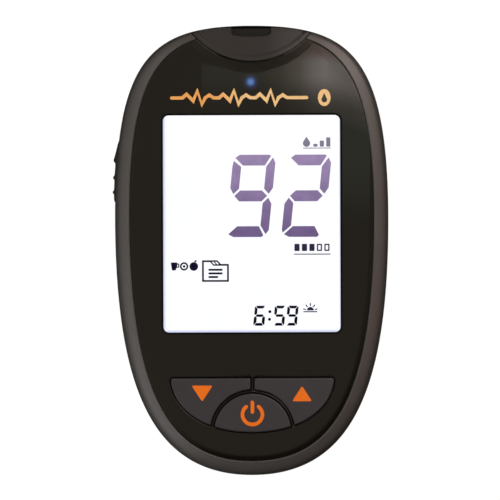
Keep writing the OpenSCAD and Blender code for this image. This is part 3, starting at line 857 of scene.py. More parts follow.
def build_lens():
    holes = [win_loop] + [key_holes[k][0] for k in (-1, 0, 1)]
    extra_pts, drops = [], []
    for k in (-1, 0, 1):
        for lp, dr in zip(key_holes[k][1:], hole_drop[1:5]):
            ok = np.ones(len(lp), bool)
            for k2 in (-1, 0, 1):       # thin webs: leave out points that fall inside a neighbour's rounding
                if k2 != k:
                    ok &= key_fn(k2, 0.21 + 0.1)(lp) < 0
            extra_pts.append(lp[ok])
            drops.append(np.full(ok.sum(), dr))
    for g, dr in zip(win_d, win_drop):
        if g:
            lp = fine(rr(WIN[0] - g, WIN[1] + g, WIN[2] - g, WIN[3] + g, WIN[4] + g, 8), 0.7)
            extra_pts.append(lp)
            drops.append(np.full(len(lp), dr))
    extra_pts, drops = np.concatenate(extra_pts), np.concatenate(drops)
    # outside the field the extra loops stay clear of the lens edge; all rings of the edge are constraints
    pts = np.concatenate([extra_pts, lens_pts])
    vs, fs, src = patch(lens_loops[0], holes, pts, extra=lens_loops[1:])
    n_outer = len(lens_loops[0])
    counts = [n_outer] + [len(h) for h in holes] + [len(lp) for lp in lens_loops[1:]]
    start = np.cumsum([0] + counts)
    drop_in = np.zeros(start[-1] + len(pts))
    drop_in[start[1]:start[2]] = win_drop[0]
    for i in range(3):
        drop_in[start[2 + i]:start[3 + i]] = hole_drop[0]
    drop_in[start[-1]:start[-1] + len(drops)] = drops
    d_ring = seg_dist(vs, LENS_RING)
    z = lens_z(vs, edge=d_ring) - np.where(src >= 0, drop_in[np.clip(src, 0, None)], 0)
    top = np.concatenate([vs, z[:, None]], 1)
    # walls and underside
    pocket = fine(np.array([(-19.8, -20.6), (20.0, -20.6), (20.0, 29.3), (-19.8, 29.3)]), 3.0)
    parts = [(top, [tuple(f) for f in fs])]

    def wall(loop, zt, zb):
        parts.append(strip(up(loop, zt), up(loop, zb)))

    def ztop(loop, drop=0.0):
        return lens_z(loop) - drop
    wall(lens_loops[0], ztop(lens_loops[0]), 15.7)
    for h in holes[1:]:
        wall(h, ztop(h, hole_drop[0]), 15.7)
    wall(win_loop, ztop(win_loop, win_drop[0]), 16.25)
    wall(pocket, 16.25, 15.7)
    v2, f2, _ = patch(lens_loops[0], holes[1:] + [pocket])
    parts.append((up(v2, 15.7), [tuple(f[::-1]) for f in f2]))
    v3, f3, _ = patch(pocket, [win_loop])
    parts.append((up(v3, 16.25), [tuple(f[::-1]) for f in f3]))
    return parts


def strip(a, b):
    n = len(a)
    return np.concatenate([a, b]), [(i, (i + 1) % n, n + (i + 1) % n, n + i) for i in range(n)]


lens = make("face_lens_shell", build_lens(), [lens_mat, slope_painted_highlight_mat], nodes=["face_lens"], sharp=38)
_c = np.array([f.center for f in lens.data.polygons]) / MM
_slope = 16.2 + (np.hypot(_c[:, 0], _c[:, 1] - PC[1]) - 15.55) * 0.7347 < dome_z(_c[:, :2]) + 0.09
lens.data.polygons.foreach_set("material_index", ((_c[:, 1] > 30) & _slope & (_c[:, 2] > 15.8)).astype(np.int32))

vs, fs, _ = patch(win_in, [], win_pts)
parts = [(up(vs, lens_z(vs, port=False)), [tuple(f) for f in fs]),
         strip(up(win_in, lens_z(win_in, port=False)), up(win_in, 16.27))]
v2, f2, _ = patch(win_in, [])
parts.append((up(v2, 16.27), [tuple(f[::-1]) for f in f2]))
window = make("lens_window_clear", parts, [window_mat], nodes=["lens_window"], sharp=38)

# ============================================================ keys


def key_z(p):
    return dome_z(p) + 0.3


def build_key(which):
    R = 0.26
    ins = [0.0, 0.012, 0.035, 0.07, 0.115, 0.17, 0.26, 0.42]
    loops = [key_loop(which, -i) for i in ins]
    drop = [R - math.sqrt(max(R * R - max(R - i, 0) ** 2, 0)) for i in ins]
    grid_k = hexgrid(-17, 17, -37, -25, 0.5)
    grid_k = grid_k[key_fn(which, -0.62)(grid_k) > 0]
    rings = [up(lp, key_z(lp) - dr) for lp, dr in zip(loops, drop)]
    parts = [strip(rings[i], rings[i + 1]) for i in range(len(rings) - 1)]
    vs, fs, _ = patch(loops[-1], [], grid_k)
    parts.append((up(vs, key_z(vs)), [tuple(f) for f in fs]))
    foot = key_loop(which, 0.21, 0.6)
    parts.append(strip(up(loops[0], 14.95), rings[0]))
    parts.append(strip(up(foot, 14.95), up(loops[0], 14.95)))
    parts.append(strip(up(foot, 14.62), up(foot, 14.95)))
    v2, f2, _ = patch(foot, [])
    parts.append((up(v2, 14.62), [tuple(f[::-1]) for f in f2]))
    return parts


make("down_button_cap", build_key(-1), [key_mat], "down_key", ["down_button"], sharp=50)
make("up_button_cap", build_key(1), [key_mat], "up_key", ["up_button"], sharp=50)
make("main_button_cap", build_key(0), [key_mat], "main_key", ["main_button"], sharp=50)


# ============================================================ thin printed marks


def rounded(pts, r, n=5):
    """Polygon with its corners rounded by r."""
    pts = [np.array(p, float) for p in pts]
    out = []
    for i, p in enumerate(pts):
        a, b = pts[i - 1], pts[(i + 1) % len(pts)]
        u, v = (a - p) / np.linalg.norm(a - p), (b - p) / np.linalg.norm(b - p)
        ang = math.acos(max(-1, min(1, float(u @ v))))
        d = min(r / math.tan(ang / 2), np.linalg.norm(a - p) * 0.48, np.linalg.norm(b - p) * 0.48)
        rad = d * math.tan(ang / 2)
        cen = p + (u + v) / np.linalg.norm(u + v) * (rad / math.sin(ang / 2))
        p0, p1 = p + u * d, p + v * d
        a0, a1 = math.atan2(*(p0 - cen)[::-1]), math.atan2(*(p1 - cen)[::-1])
        da = (a1 - a0 + math.pi) % (2 * math.pi) - math.pi
        out += [cen + rad * np.array([math.cos(a0 + da * k / n), math.sin(a0 + da * k / n)]) for k in range(n + 1)]
    return np.array(out)


def stroke(path, w, n=6, closed=False):
    """Outline of a line of width w with round ends."""
    path = [np.array(p, float) for p in path]
    h = w / 2
    left, right = [], []
    m = len(path)
    for i, p in enumerate(path):
        a = path[i - 1] if i else None
        b = path[i + 1] if i < m - 1 else None
        if a is None:
            t = (b - p) / np.linalg.norm(b - p)
            k = 1
        elif b is None:
            t = (p - a) / np.linalg.norm(p - a)
            k = 1
        else:
            t1, t2 = (p - a) / np.linalg.norm(p - a), (b - p) / np.linalg.norm(b - p)
            t = (t1 + t2) / np.linalg.norm(t1 + t2)
            k = min(1 / max(float(t @ t1), 0.3), 1.8)
        nrm = np.array([-t[1], t[0]])
        left.append(p + nrm * h * k)
        right.append(p - nrm * h * k)

    def endcap(p, t):
        a0 = math.atan2(t[1], t[0])
        return [p + h * np.array([math.cos(a0 + s), math.sin(a0 + s)]) for s in np.linspace(math.pi / 2, -math.pi / 2, n + 2)[1:-1]]
    t0 = (path[0] - path[1]) / np.linalg.norm(path[0] - path[1])
    t1 = (path[-1] - path[-2]) / np.linalg.norm(path[-1] - path[-2])
    return np.array(left + endcap(path[-1], t1) + right[::-1] + endcap(path[0], t0))[::-1]


def ccw(loop):
    x, y = loop[:, 0], loop[:, 1]
    return loop if (x * np.roll(y, -1) - np.roll(x, -1) * y).sum() > 0 else loop[::-1]


def mark_parts(shapes, zf, rise, down, step=0.45):
    """Thin solids over zf: each shape is an outer loop or (outer, [holes])."""
    parts = []
    for s in shapes:
        outer, holes = s if isinstance(s, tuple) else (s, [])
        outer = fine(ccw(np.asarray(outer, float)), step)
        holes = [fine(ccw(np.asarray(h, float)), step) for h in holes]
        lo, hi = outer.min(0), outer.max(0)
        g = hexgrid(lo[0], hi[0], lo[1], hi[1], step) if min(hi - lo) > step else np.zeros((0, 2))
        if len(g):
            ok = seg_dist(g, outer) > step * 0.3
            for h in holes:
                ok &= seg_dist(g, h) < -step * 0.3
            g = g[ok]
        vs, fs, _ = patch(outer, holes, g)
        parts.append((up(vs, zf(vs) + rise), [tuple(f) for f in fs]))
        vb, fb, _ = patch(outer, holes, g)
        parts.append((up(vb, zf(vb) - down), [tuple(f[::-1]) for f in fb]))
        parts.append(strip(up(outer, zf(outer) - down), up(outer, zf(outer) + rise)))
        for h in holes:
            parts.append(strip(up(h, zf(h) + rise), up(h, zf(h) - down)))
    return parts


def arc_pts(c, r, a0, a1, n=24):
    a = np.radians(np.linspace(a0, a1, n))
    return np.stack([c[0] + r * np.cos(a), c[1] + r * np.sin(a)], 1)


down_tri = rounded([(-12.09, -26.98), (-9.99, -30.18), (-7.89, -26.98)], 0.17)
up_tri = rounded([(7.93, -30.16), (11.88, -30.16), (9.92, -27.12)], 0.17)
make("down_button_mark", mark_parts([down_tri], key_z, 0.012, 0.04), [orange], "down_key", sharp=50)
make("up_button_mark", mark_parts([up_tri], key_z, 0.012, 0.04), [orange], "up_key", sharp=50)
# plain standby sign: an open ring with a bar
sc = (0.02, -32.78)
ring_sign = stroke(arc_pts(sc, 1.98, 90 + 38, 450 - 38, 40), 0.72)
bar_sign = stroke([(sc[0], sc[1] + 0.5), (sc[0], sc[1] + 2.42)], 0.72)
make("main_button_mark", mark_parts([ring_sign, bar_sign], key_z, 0.012, 0.04), [orange], "main_key", sharp=50)


# ornament over the display: a plain pulse line and a drop
def drop_shape(c, w, h, n=18):
    """Drop with its point up, w wide and h high."""
    r = w / 2
    cy = c[1] - h / 2 + r
    a = math.degrees(math.acos(r / (h - r)))
    body = arc_pts((c[0], cy), r, 90 + a, 450 - a, n * 2)
    return np.concatenate([body, [(c[0], c[1] + h / 2)]])


def lens_top(p):
    return lens_z(p, port=False)


def border_rings():
    """Narrow band that follows the rounded edge of the lens round the window."""
    top, low = [], []
    for g in (0.02, 0.05, 0.12, 0.20, 0.28, 0.34, 0.36):
        lp = fine(rr(WIN[0] - g, WIN[1] + g, WIN[2] - g, WIN[3] + g, WIN[4] + g, 8), 0.9)
        z = lens_top(lp) - np.interp(g, win_d, win_drop)
        top.append(up(lp, z + 0.012))
        low.append(up(lp, z - 0.03))
    return loft(top + low[::-1], closed=True)


base_y = 30.3
pulse = [(-15.85, base_y), (-13.7, base_y)]
for x0, k in ((-13.7, 1.0), (-6.4, 1.0), (0.9, 1.0)):
    pulse += [(x0 + dx, base_y + dy * k) for dx, dy in ((0.8, 0.72), (1.55, 0), (2.15, -0.62), (2.95, 1.42), (3.85, -1.34), (4.5, 0), (5.35, 0.55), (6.2, 0), (7.3, 0))]
pulse = pulse[:-1] + [(11.0, base_y)]
badge_c = (14.52, 30.28)
oval = np.array([(badge_c[0] + 1.26 * math.cos(a), badge_c[1] + 1.70 * math.sin(a)) for a in np.linspace(0, 2 * math.pi, 60, endpoint=False)])
make("lens_ornament", mark_parts([stroke(pulse, 0.66), (oval, [drop_shape(badge_c, 1.12, 1.9)])], lens_top, 0.010, 0.04), [gold],
     "root", sharp=50)

# matt black line printed round the display window
make("lens_border_line", border_rings(), [black_print_and_painted_shade], "root", sharp=60)

# ============================================================ display

LX, LY = 251.8, 249.9


def P(px, py):
    return ((px - LX) / 5, (LY - py) / 5)


flat = lambda p: np.full(len(p), 16.06)
SEG = {
    "a": [(2.0, 78.9), (6.3, 82), (35.8, 82), (37.7, 81), (32.3, 71.2), (10.4, 71.2)],
    "b": [(39.6, 79.3), (42.5, 73.8), (42.5, 49), (38.8, 42.9), (33.7, 48.2), (33.7, 70)],
    "c": [(38.8, 39.3), (42.5, 33), (42.5, 6.9), (39.6, 2.7), (33.7, 11.5), (33.7, 33.8)],
    "d": [(2.4, 2.7), (10.6, 10.8), (32.2, 10.8), (37.6, 1.8), (35.7, 0), (8.0, 0)],
    "e": [(3.8, 39.3), (8.8, 33.8), (8.8, 11.5), (1.0, 4.1), (0, 7.7), (0, 33.0)],
    "f": [(0.8, 75.9), (8.8, 70), (8.8, 48.2), (3.6, 42.7), (0, 48.8), (0, 70)],
    "g": [(4.7, 41), (10.1, 46.4), (31.9, 46.4), (37.5, 41), (32.4, 35.5), (10.1, 35.5)],
}
DIGIT = {"2": "abged", "5": "afgcd", "6": "afgecd", "9": "abgfcd"}


SMALL = {
    "a": [(0.65, 19.75), (9.55, 19.75), (7.95, 17), (2.25, 17)],
    "b": [(10.65, 18.3), (9.95, 19.15), (7.85, 16.5), (7.85, 11.9), (9.3, 10.4), (10.65, 11.7)],
    "c": [(10.65, 1.3), (9.95, 0.45), (7.75, 3.2), (7.75, 7.8), (9.3, 9.4), (10.65, 8.1)],
    "d": [(0.75, -0.15), (9.45, -0.15), (7.85, 2.6), (2.35, 2.6)],
    "e": [(-0.45, 1.3), (0.25, 0.45), (2.45, 3.2), (2.45, 7.8), (0.9, 9.4), (-0.45, 8.1)],
    "f": [(-0.45, 18.3), (0.25, 19.15), (2.35, 16.5), (2.35, 11.9), (0.9, 10.4), (-0.45, 11.7)],
    "g": [(1.1, 9.9), (2.25, 11.18), (7.95, 11.18), (9.1, 9.9), (7.95, 8.62), (2.25, 8.62)],
}


def digit(ch, x0, y0, k, table, slant=0.1016, rad=0.05):
    out = []
    for s in DIGIT[ch]:
        p = np.array(table[s], float)
        q = np.stack([x0 + (p[:, 0] + p[:, 1] * slant) * k, y0 + p[:, 1] * k], 1)
        out.append(rounded(q, rad, 3))
    return out


lo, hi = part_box("front_polariser")
lcd = make("lcd_face", prism(fine(rr(lo.x / MM, hi.x / MM, lo.y / MM, hi.y / MM, 0.2, 3), 2.5), lo.z / MM, hi.z / MM),
           [lcd_mat], nodes=["front_polariser"])

x9, y9 = P(225.6, 237.1)
x2, _ = P(281.0, 0)
big = digit("9", x9, y9, 0.2, SEG, rad=0.09) + digit("2", x2, y9, 0.2, SEG, rad=0.09)
make("reading_digits", mark_parts(big, flat, 0.02, 0.01, step=3.0), [seg_mat])

ty = P(0, 325.3)[1]
small = []
for ch, px in (("6", 253.3), ("5", 273.1), ("9", 285.7)):
    small += digit(ch, P(px, 0)[0], ty, 0.2, SMALL, rad=0.07)
small += [circle(P(269.6, 311.5), 0.30, 20), circle(P(269.2, 319.1), 0.30, 20)]
# day sign: a rising sun beside the time
sun = np.array(P(309.9, 310.4))
tiny = [np.concatenate([arc_pts(sun, 0.70, 0, 180, 16)])]
for a in (12, 51, 90, 129, 168):
    u = np.array([math.cos(math.radians(a)), math.sin(math.radians(a))])
    tiny.append(stroke([sun + u * 0.96, sun + u * 1.38], 0.22, 3))
tiny.append(rr(P(303.0, 0)[0], P(316.8, 0)[0], P(0, 312.2)[1], P(0, 311.1)[1], 0.05, 2))


def lines(points, w):
    return stroke([P(*p) for p in points], w, 3)


# folder with a tab and a written sheet
small.append((ccw(rounded([P(*p) for p in ((202.2, 260.1), (217.4, 260.1), (221.0, 263.8), (228.9, 263.8), (228.9, 281.6), (202.2, 281.6))], 0.1, 3)),
              [ccw(rounded([P(*p) for p in ((204.0, 261.95), (210.3, 261.95), (213.4, 265.6), (227.1, 265.6), (227.1, 279.8), (204.0, 279.8))], 0.06, 3)),
               ccw(rounded([P(*p) for p in ((211.6, 261.6), (213.6, 261.6), (216.0, 264.2), (214.2, 264.2))], 0.06, 3)),
               ccw(rounded([P(*p) for p in ((214.9, 261.6), (216.8, 261.6), (219.3, 264.2), (217.4, 264.2))], 0.06, 3))]))
for y in (269.6, 273.2, 276.8):
    small.append(lines([(209.4, y), (221.8 if y < 276 else 217.4, y)], 0.40))
# meal signs: a cup, a dish and a round fruit with a leaf
small.append((rounded([P(*p) for p in ((171.0, 262.2), (177.4, 262.2), (177.4, 263.2), (179.6, 263.2), (179.6, 267.4), (176.9, 267.4), (175.9, 270.1), (172.3, 270.1))], 0.14, 3),
              [ccw(rounded([P(*p) for p in ((177.6, 264.3), (178.5, 264.3), (178.5, 266.3), (177.3, 266.3))], 0.05, 2))]))
small.append((circle(P(184.3, 266.1), 0.83, 36), [circle(P(184.3, 266.1), 0.50, 28)]))
small.append(circle(P(184.3, 266.1), 0.26, 20))
small.append(circle(P(194.0, 266.2), 0.86, 36))
small.append(rounded([P(194.2, 261.9), P(195.0, 260.2), P(197.2, 259.8), P(196.4, 261.8)], 0.08, 3))
# level blocks under the reading
for i in range(5):
    x = 294.2 + i * 7.45
    blk = rr(P(x, 0)[0], P(x + 5.2, 0)[0], P(0, 251.2)[1], P(0, 244.0)[1], 0.16, 3)
    if i < 3:
        tiny.append(blk)
    else:
        tiny.append((blk, [rr(P(x + 1.35, 0)[0], P(x + 3.85, 0)[0], P(0, 249.85)[1], P(0, 245.35)[1], 0.08, 3)]))
tiny.append(rr(P(293.7, 0)[0], P(330.3, 0)[0], P(0, 254.8)[1], P(0, 253.8)[1], 0.05, 2))
make("display_signs", mark_parts(small, flat, 0.02, 0.01, step=3.0), [seg_dark])
make("display_fine_signs", mark_parts(tiny, flat, 0.02, 0.01, step=3.0), [seg_fine])

pale = [drop_shape(P(306.6, 142.3), 1.45, 2.05)]
for i in range(3):
    x = 313.4 + i * 6.4
    pale.append(rr(P(x, 0)[0], P(x + 4.2, 0)[0], P(0, 147.3)[1], P(0, 144.4 - i * 3.2)[1], 0.14, 3))
pale.append(rr(P(303.0, 0)[0], P(331.0, 0)[0], P(0, 149.1)[1], P(0, 148.2)[1], 0.04, 2))
make("display_label", mark_parts(pale, flat, 0.02, 0.01, step=3.0), [seg_pale])

# ============================================================ front bezel


RIM_N = 6.5


def crown(f):
    return 0.75 * (1 - f) + 0.35 * (1 - f) ** 2


def rim_z(f):
    return 11.2 + 5.45 * np.clip(1 - (1 - f) ** RIM_N, 0, 1) ** (1 / RIM_N) - crown(f)


def build_bezel():
    rings = [up(ring(0, 0.34), 9.56), up(ring(0, 0.25), 9.60), up(ring(0, 0.22), 9.68), up(ring(0, 0.22), 9.9)]
    side = [1 - (1 - t ** RIM_N) ** (1 / RIM_N) for t in (0.0, 0.2, 0.35, 0.48, 0.58, 0.66, 0.73, 0.79, 0.83, 0.865, 0.893, 0.917)]
    for f, t in list(zip(side, (0.0, 0.2, 0.35, 0.48, 0.58, 0.66, 0.73, 0.79, 0.83, 0.865, 0.893, 0.917))):
        rings.append(up(ring(f, 0.22 * (1 - f)), 11.2 + 5.45 * t - crown(f)))
    for f in (0.20, 0.24, 0.29, 0.35, 0.42, 0.50, 0.58, 0.66, 0.74, 0.81, 0.86):
        rings.append(up(ring(f, 0.22 * (1 - f)), float(rim_z(f))))
    rings += [up(ring(0.88, 0), 16.552), up(ring(0.90, 0), 16.561), up(ring(0.92, 0), 16.559), up(ring(0.94, 0), 16.543), up(ring(0.96, 0), 16.510),
              up(ring(0.98, 0), 16.457), up(ring(1, 0), 16.385), up(ring(1, 0), 16.2), up(ring(1, 0), 14.3), up(ring(0, 1.9), 12.8), up(ring(0, 2.4), 10.5),
              up(ring(0, 2.4), 8.4), up(ring(0, 1.62), 8.4), up(ring(0, 1.62), 9.56)]
    return loft(rings, closed=True)


BOSS = [(19.2, -22.6), (-19.2, -22.6), (15.5, 32), (-15.5, 32)]
POST = [(21.6, 5), (-21.6, 5), (0, -39.4)]
bz = make("front_bezel_shell", build_bezel(), [bezel_mat], keep=True)
cut(bz, prism(ring(1, -0.6), 14.5, 15.6), "UNION")
field15 = ray_loop(lambda p: seg_dist(p, FIELD) + 1.25, np.array([0, -29.5]), np.linspace(0, 2 * math.pi, 160, endpoint=False), 30)
field03 = ray_loop(lambda p: seg_dist(p, FIELD) + 0.26, np.array([0, -29.5]), np.linspace(0, 2 * math.pi, 160, endpoint=False), 30)
cut(bz, [box(-19.7, 19.9, -20.5, 29.2, 10, 17), prism(field15, 10, 15.1)])
cut(bz, [prism(field03, 15, 17), prism(circle(PC, PR, 240), 9.54, 20)])
cut(bz, [box(-6.6, 6.6, 32.3, 46, 10, 17)])
cut(bz, [moved(box(-4, 0.4, 0.15, 17.1, 7.9, 12.45), AT_EJ)])
cut(bz, [moved(box(-0.1, 1.5, -4.5, 21.6, 7.9, 12.7), AT_EJ)])
cut(bz, [prism(circle(p, 3.4, 40), 8, 9.58) for p in BOSS])
cut(bz, [prism(circle(p, 2.1, 32), 9.6, 15.0) for p in BOSS] + [prism(circle(p, 1.5, 28), 13.63, 15.0) for p in POST], "UNION")
cut(bz, [prism(circle(p, 0.92, 24), 8, 13.6) for p in BOSS] + [prism(circle(p, 0.82, 24), 12, 15.2) for p in POST])
tidy(bz)
finish_piece(bz, "root", ["front_bezel"], 34)

# ============================================================ rear cover


def build_cover():
    rings = []
    for k in range(0, 19):
        a = math.radians(90 * k / 18)
        rings.append(up(ring(0, 6 * (1 - math.sin(a))), 7 * (1 - math.cos(a))))
    rings += [up(ring(0, 0), 8.4), up(ring(0, 0), 9.36), up(ring(0, 0.03), 9.44), up(ring(0, 0.1), 9.5), up(ring(0, 1.5), 9.5)]
    for k in range(12, -1, -1):
        a = math.radians(90 * k / 12)
        rings.append(up(ring(0, 1.5 + 5.6 * (1 - math.sin(a))), 1.5 + 6 * (1 - math.cos(a))))
    return loft(rings)


def outer_cover():
    rings = [up(ring(0, 6 * (1 - math.sin(math.radians(5 * k)))), 7 * (1 - math.cos(math.radians(5 * k)))) for k in range(19)]
    return loft(rings + [up(ring(0, 0), 9.5)])


def sphere(c, r, n=64, m=32):
    rings = []
    for j in range(1, m):
        a = math.pi * j / m
        rings.append(up(circle((c[0], c[1]), r * math.sin(a), n), c[2] - r * math.cos(a)))
    return loft(rings)


DX, DY0, DY1 = 13.3, -32.6, 19.6
cover = make("rear_cover_shell", build_cover(), [cover_mat], keep=True)
bosses = make("bosses", [prism(circle(p, 3.2, 48), 0.5, 9.48) for p in BOSS], [cover_mat], keep=True)
cut(bosses, outer_cover(), "INTERSECT")
bv = np.array([v.co for v in bosses.data.vertices]) / MM
bf = [tuple(p.vertices) for p in bosses.data.polygons]
me = bosses.data
bpy.data.objects.remove(bosses)
bpy.data.meshes.remove(me)
cut(cover, (bv, bf), "UNION")
cut(cover, prism(rr(-14.6, 14.6, DY0 - 1.6, DY1 + 1.6, 4), 0.3, 3), "UNION")
cut(cover, prism(rr(-13.1, 13.1, -32.4, 19.4, 1), 1, 12.6), "UNION")
cut(cover, [box(-20.2, -19.2, 21, 29, 1, 10.7), box(-6.4, -5.4, 21, 29, 1, 10.7), box(-10.6, -7.4, 31, 32.4, 1, 12.5)], "UNION")
cut(cover, prism(rr(-11.9, 11.9, -31.2, 18.2, 0.5), 1.2, 12))


cut(cover, loft([up(rr(-DX - 0.95, DX + 0.95, DY0 - 0.95, DY1 + 0.95, 3.4), -0.8), up(rr(-DX - 0.32, DX + 0.32, DY0 - 0.32, DY1 + 0.32, 2.77), -0.001),
                 up(rr(-DX - 0.2, DX + 0.2, DY0 - 0.2, DY1 + 0.2, 2.65), 0.06), up(rr(-DX - 0.15, DX + 0.15, DY0 - 0.15, DY1 + 0.15, 2.6), 0.17),
                 up(rr(-DX - 0.15, DX + 0.15, DY0 - 0.15, DY1 + 0.15, 2.6), 1.38)]))
cut(cover, [box(s * 8 - 2.3, s * 8 + 2.3, -34.5, -31.5, 0.42, 2.3) for s in (-1, 1)])
cut(cover, [sphere((0, 21.6, -5.2), 6, 96, 48)])
cut(cover, [loft([up(circle(p, 2.5, 48), -0.3), up(circle(p, 2.2, 48), 0.0), up(circle(p, 2.0, 48), 0.2), up(circle(p, 2.0, 48), 3.0),
                  up(circle(p, 1.1, 48), 3.0), up(circle(p, 1.1, 48), 12.0)]) for p in BOSS])
cut(cover, loft([up(rr(-11.5, 11.5, 25.9, 36.5, 1.5), -0.38), up(rr(-11.12, 11.12, 26.28, 36.12, 1.12), 0.0), up(rr(-11, 11, 26.4, 36, 1), 0.12)]))
cut(cover, [moved(box(-4, 0.4, 0.15, 17.1, 7.9, 12.45), AT_EJ)])
cut(cover, [moved(box(-0.1, 1.5, -4.5, 21.6, 8.1, 12.7), AT_EJ)])
tidy(cover)
cover.data.materials.append(black_print_and_painted_shade)
for f in cover.data.polygons:       # painted shade: matt black faces stand for the dark mouth under the strip port
    c = f.center / MM
    if c.y > 43 and abs(c.x) < 7.5 and c.z > 9.3 and f.normal.z > 0.1:
        f.material_index = 1
finish_piece(cover, "root", ["rear_cover"], 34)

# ============================================================ port cap

_w0, _w1 = R_in(0, 0.25), R_in(1, 0)


def cap_z(p):
    v = p - C7
    th, r = np.arctan2(v[:, 1], v[:, 0]), np.hypot(v[:, 0], v[:, 1])
    r0, r1 = _w0(th), _w1(th)
    f = np.clip((r0 - r) / (r0 - r1), 0, 1)
    env = rim_z(f)
    plane = 16.35 - (p[:, 1] - 37.5) * math.tan(math.radians(10.3))
    sunk = 15.95 - (p[:, 1] - 38.8) * math.tan(math.radians(16.0))
    q = np.clip((14.46 - np.hypot(p[:, 0] - PC[0], p[:, 1] - PC[1])) / 0.52, 0, 1)
    q = q * q * (3 - 2 * q)
    z = plane - np.maximum(plane - sunk, 0.20) * q
    z = smin(z, env, 0.16)
    d = 15.3 - np.hypot(p[:, 0] - PC[0], p[:, 1] - PC[1])
    return z - 0.12 * np.clip(1 - d / 0.14, 0, 1) ** 2


def build_cap():
    top = ring(0, 0.25, 260)
    ok = np.hypot(top[:, 0], top[:, 1] - PC[1]) < 15.3
    # counter-clockwise from the top: the first block runs left and down, the last comes up on the right
    n_first = np.argmin(ok)
    left = top[:n_first]
    last = len(ok) - np.argmin(ok[::-1])
    right = top[last:]
    path = np.concatenate([right, left])          # from the right corner over the top to the left corner
    a0 = math.atan2(path[-1][1] - PC[1], path[-1][0])
    a1 = math.atan2(path[0][1] - PC[1], path[0][0])
    arc = [(15.3 * math.cos(a), PC[1] + 15.3 * math.sin(a)) for a in np.linspace(a0 % (2 * math.pi), a1 % (2 * math.pi), 150)]
    outer = np.concatenate([path, arc])
    pts = []
    for dlt in (0.008, 0.025, 0.05, 0.085, 0.13, 0.19, 0.27, 0.37, 0.5):
        q = ring(0, 0.25 + dlt, 200)
        pts.append(q[(np.hypot(q[:, 0], q[:, 1] - PC[1]) < 15.22) & (q[:, 1] > 38)])
    for dlt in (0.03, 0.07, 0.12, 0.2):
        a = np.linspace(math.radians(200), math.radians(340), 300)
        q = np.stack([(15.3 - dlt) * np.cos(a), PC[1] + (15.3 - dlt) * np.sin(a)], 1)
        v = q - C7
        pts.append(q[np.hypot(v[:, 0], v[:, 1]) < R_in(0, 0.3)(np.arctan2(v[:, 1], v[:, 0]))])
    g = hexgrid(-15, 15, 37, 45, 0.24)
    v = g - C7
    g = g[(np.hypot(g[:, 0], g[:, 1] - PC[1]) < 15.0) & (np.hypot(v[:, 0], v[:, 1]) < R_in(0, 0.85)(np.arctan2(v[:, 1], v[:, 0])))]
    vs, fs, _ = patch(outer, [], np.concatenate(pts + [g]))
    parts = [(up(vs, cap_z(vs)), [tuple(f) for f in fs]),
             strip(up(outer, 9.56), up(outer, cap_z(outer)))]
    v2, f2, _ = patch(outer, [])
    parts.append((up(v2, 9.56), [tuple(f[::-1]) for f in f2]))
    return parts


def ring_gap(c):
    """Distance of a point from the front edge of the cap."""
    v = np.array([[c.x, c.y]]) - C7
    th = np.arctan2(v[:, 1], v[:, 0])
    return float((_w0(th) - np.hypot(v[:, 0], v[:, 1]))[0])


cap = make("port_cap_shell", build_cap(), [cap_mat], keep=True)
cut(cap, prism(ring(0, 2, 30), 9, 14.2))
cut(cap, [box(-6.3, 6.3, 34, 39.6, 13, 15.15), box(-5, 5, 41.82, 46, 12.5, 13.9)])
cut(cap, box(-6.3, 6.3, 39.5, 41.8, 13, 14.75))
notch = np.array([(3.98, 47.0), (-3.98, 47.0), (-3.98, 43.35), (-3.86, 43.05), (-3.55, 42.82), (-3.0, 42.68), (-2.0, 42.58), (-1.0, 42.52), (0.0, 42.5),
                  (1.0, 42.52), (2.0, 42.58), (3.0, 42.68), (3.55, 42.82), (3.86, 43.05), (3.98, 43.35)])
cut(cap, prism(notch, 13, 20))
cut(cap, box(-3.98, 3.98, 44.3, 47, 12.7, 13.2))
cut(cap, box(-3.85, 3.85, 41, 46, 13.85, 14.75))
for m in (guide_mat, black_print_and_painted_shade):
    cap.data.materials.append(m)
# notch walls take the strip guide's black; the deepest slot floor and a band along the cap's front edge take matt black
# as painted shade of the port mouth
for f in cap.data.polygons:
    c = f.center / MM
    mouth = 0.20 * max(0.0, 1 - (abs(c.x + 0.3) / 7.5) ** 2)
    if abs(c.x) < 4.02 and c.y > 42.45 and c.z < 15.35 and (abs(f.normal.z) < 0.3 or c.z < 13.3):
        f.material_index = 2 if c.z < 12.95 else 1
    elif c.y > 40 and 44.6 - 0.5 * (c.x / 11.0) ** 2 - c.y < 1.0 and ring_gap(c) < mouth:
        f.material_index = 2
finish_piece(cap, "root", ["port_cap"], 40)

# ============================================================ ejector slider

_xs = ring(0, 0, 900)
_xs = _xs[(_xs[:, 0] < 0) & (_xs[:, 1] > 6.4)]
_o = np.argsort(_xs[:, 1])
x_edge = lambda y: np.interp(y, _xs[_o, 1], -_xs[_o, 0])
RIDGE = [(22, -.12), (21.7, -.03), (21.2, .10), (20.4, .20), (19.2, .38), (18.5, .52), (18.15, .60), (17.95, .62), (17.75, .56), (17.55, .38),
         (17.35, .24), (17.0, .20), (15.3, .22), (15.0, .26), (14.8, .40), (14.62, .50), (14.4, .50), (14.22, .38), (14.05, .25), (13.8, .22),
         (12.2, .22), (12.0, .26), (11.85, .38), (11.7, .48), (11.5, .48), (11.33, .36), (11.2, .24), (10.9, .20), (10.2, .18), (9.85, .10), (9.55, -.05)]


def slider_loop(g):
    """Footprint pulled in by g at the outer face."""
    y = np.array([r[0] for r in RIDGE])
    w = np.array([r[1] for r in RIDGE])
    outer = np.stack([-x_edge(y) - w + g, y], 1)
    outer[0, 1] -= g
    outer[-1, 1] += g
    a = math.radians(5.7)
    inner = [(-25.15 + 0.05 * math.cos(a) + q * math.sin(a), 9 + q * math.cos(a)) for q in (0.6, 13)]
    return np.concatenate([outer, inner])


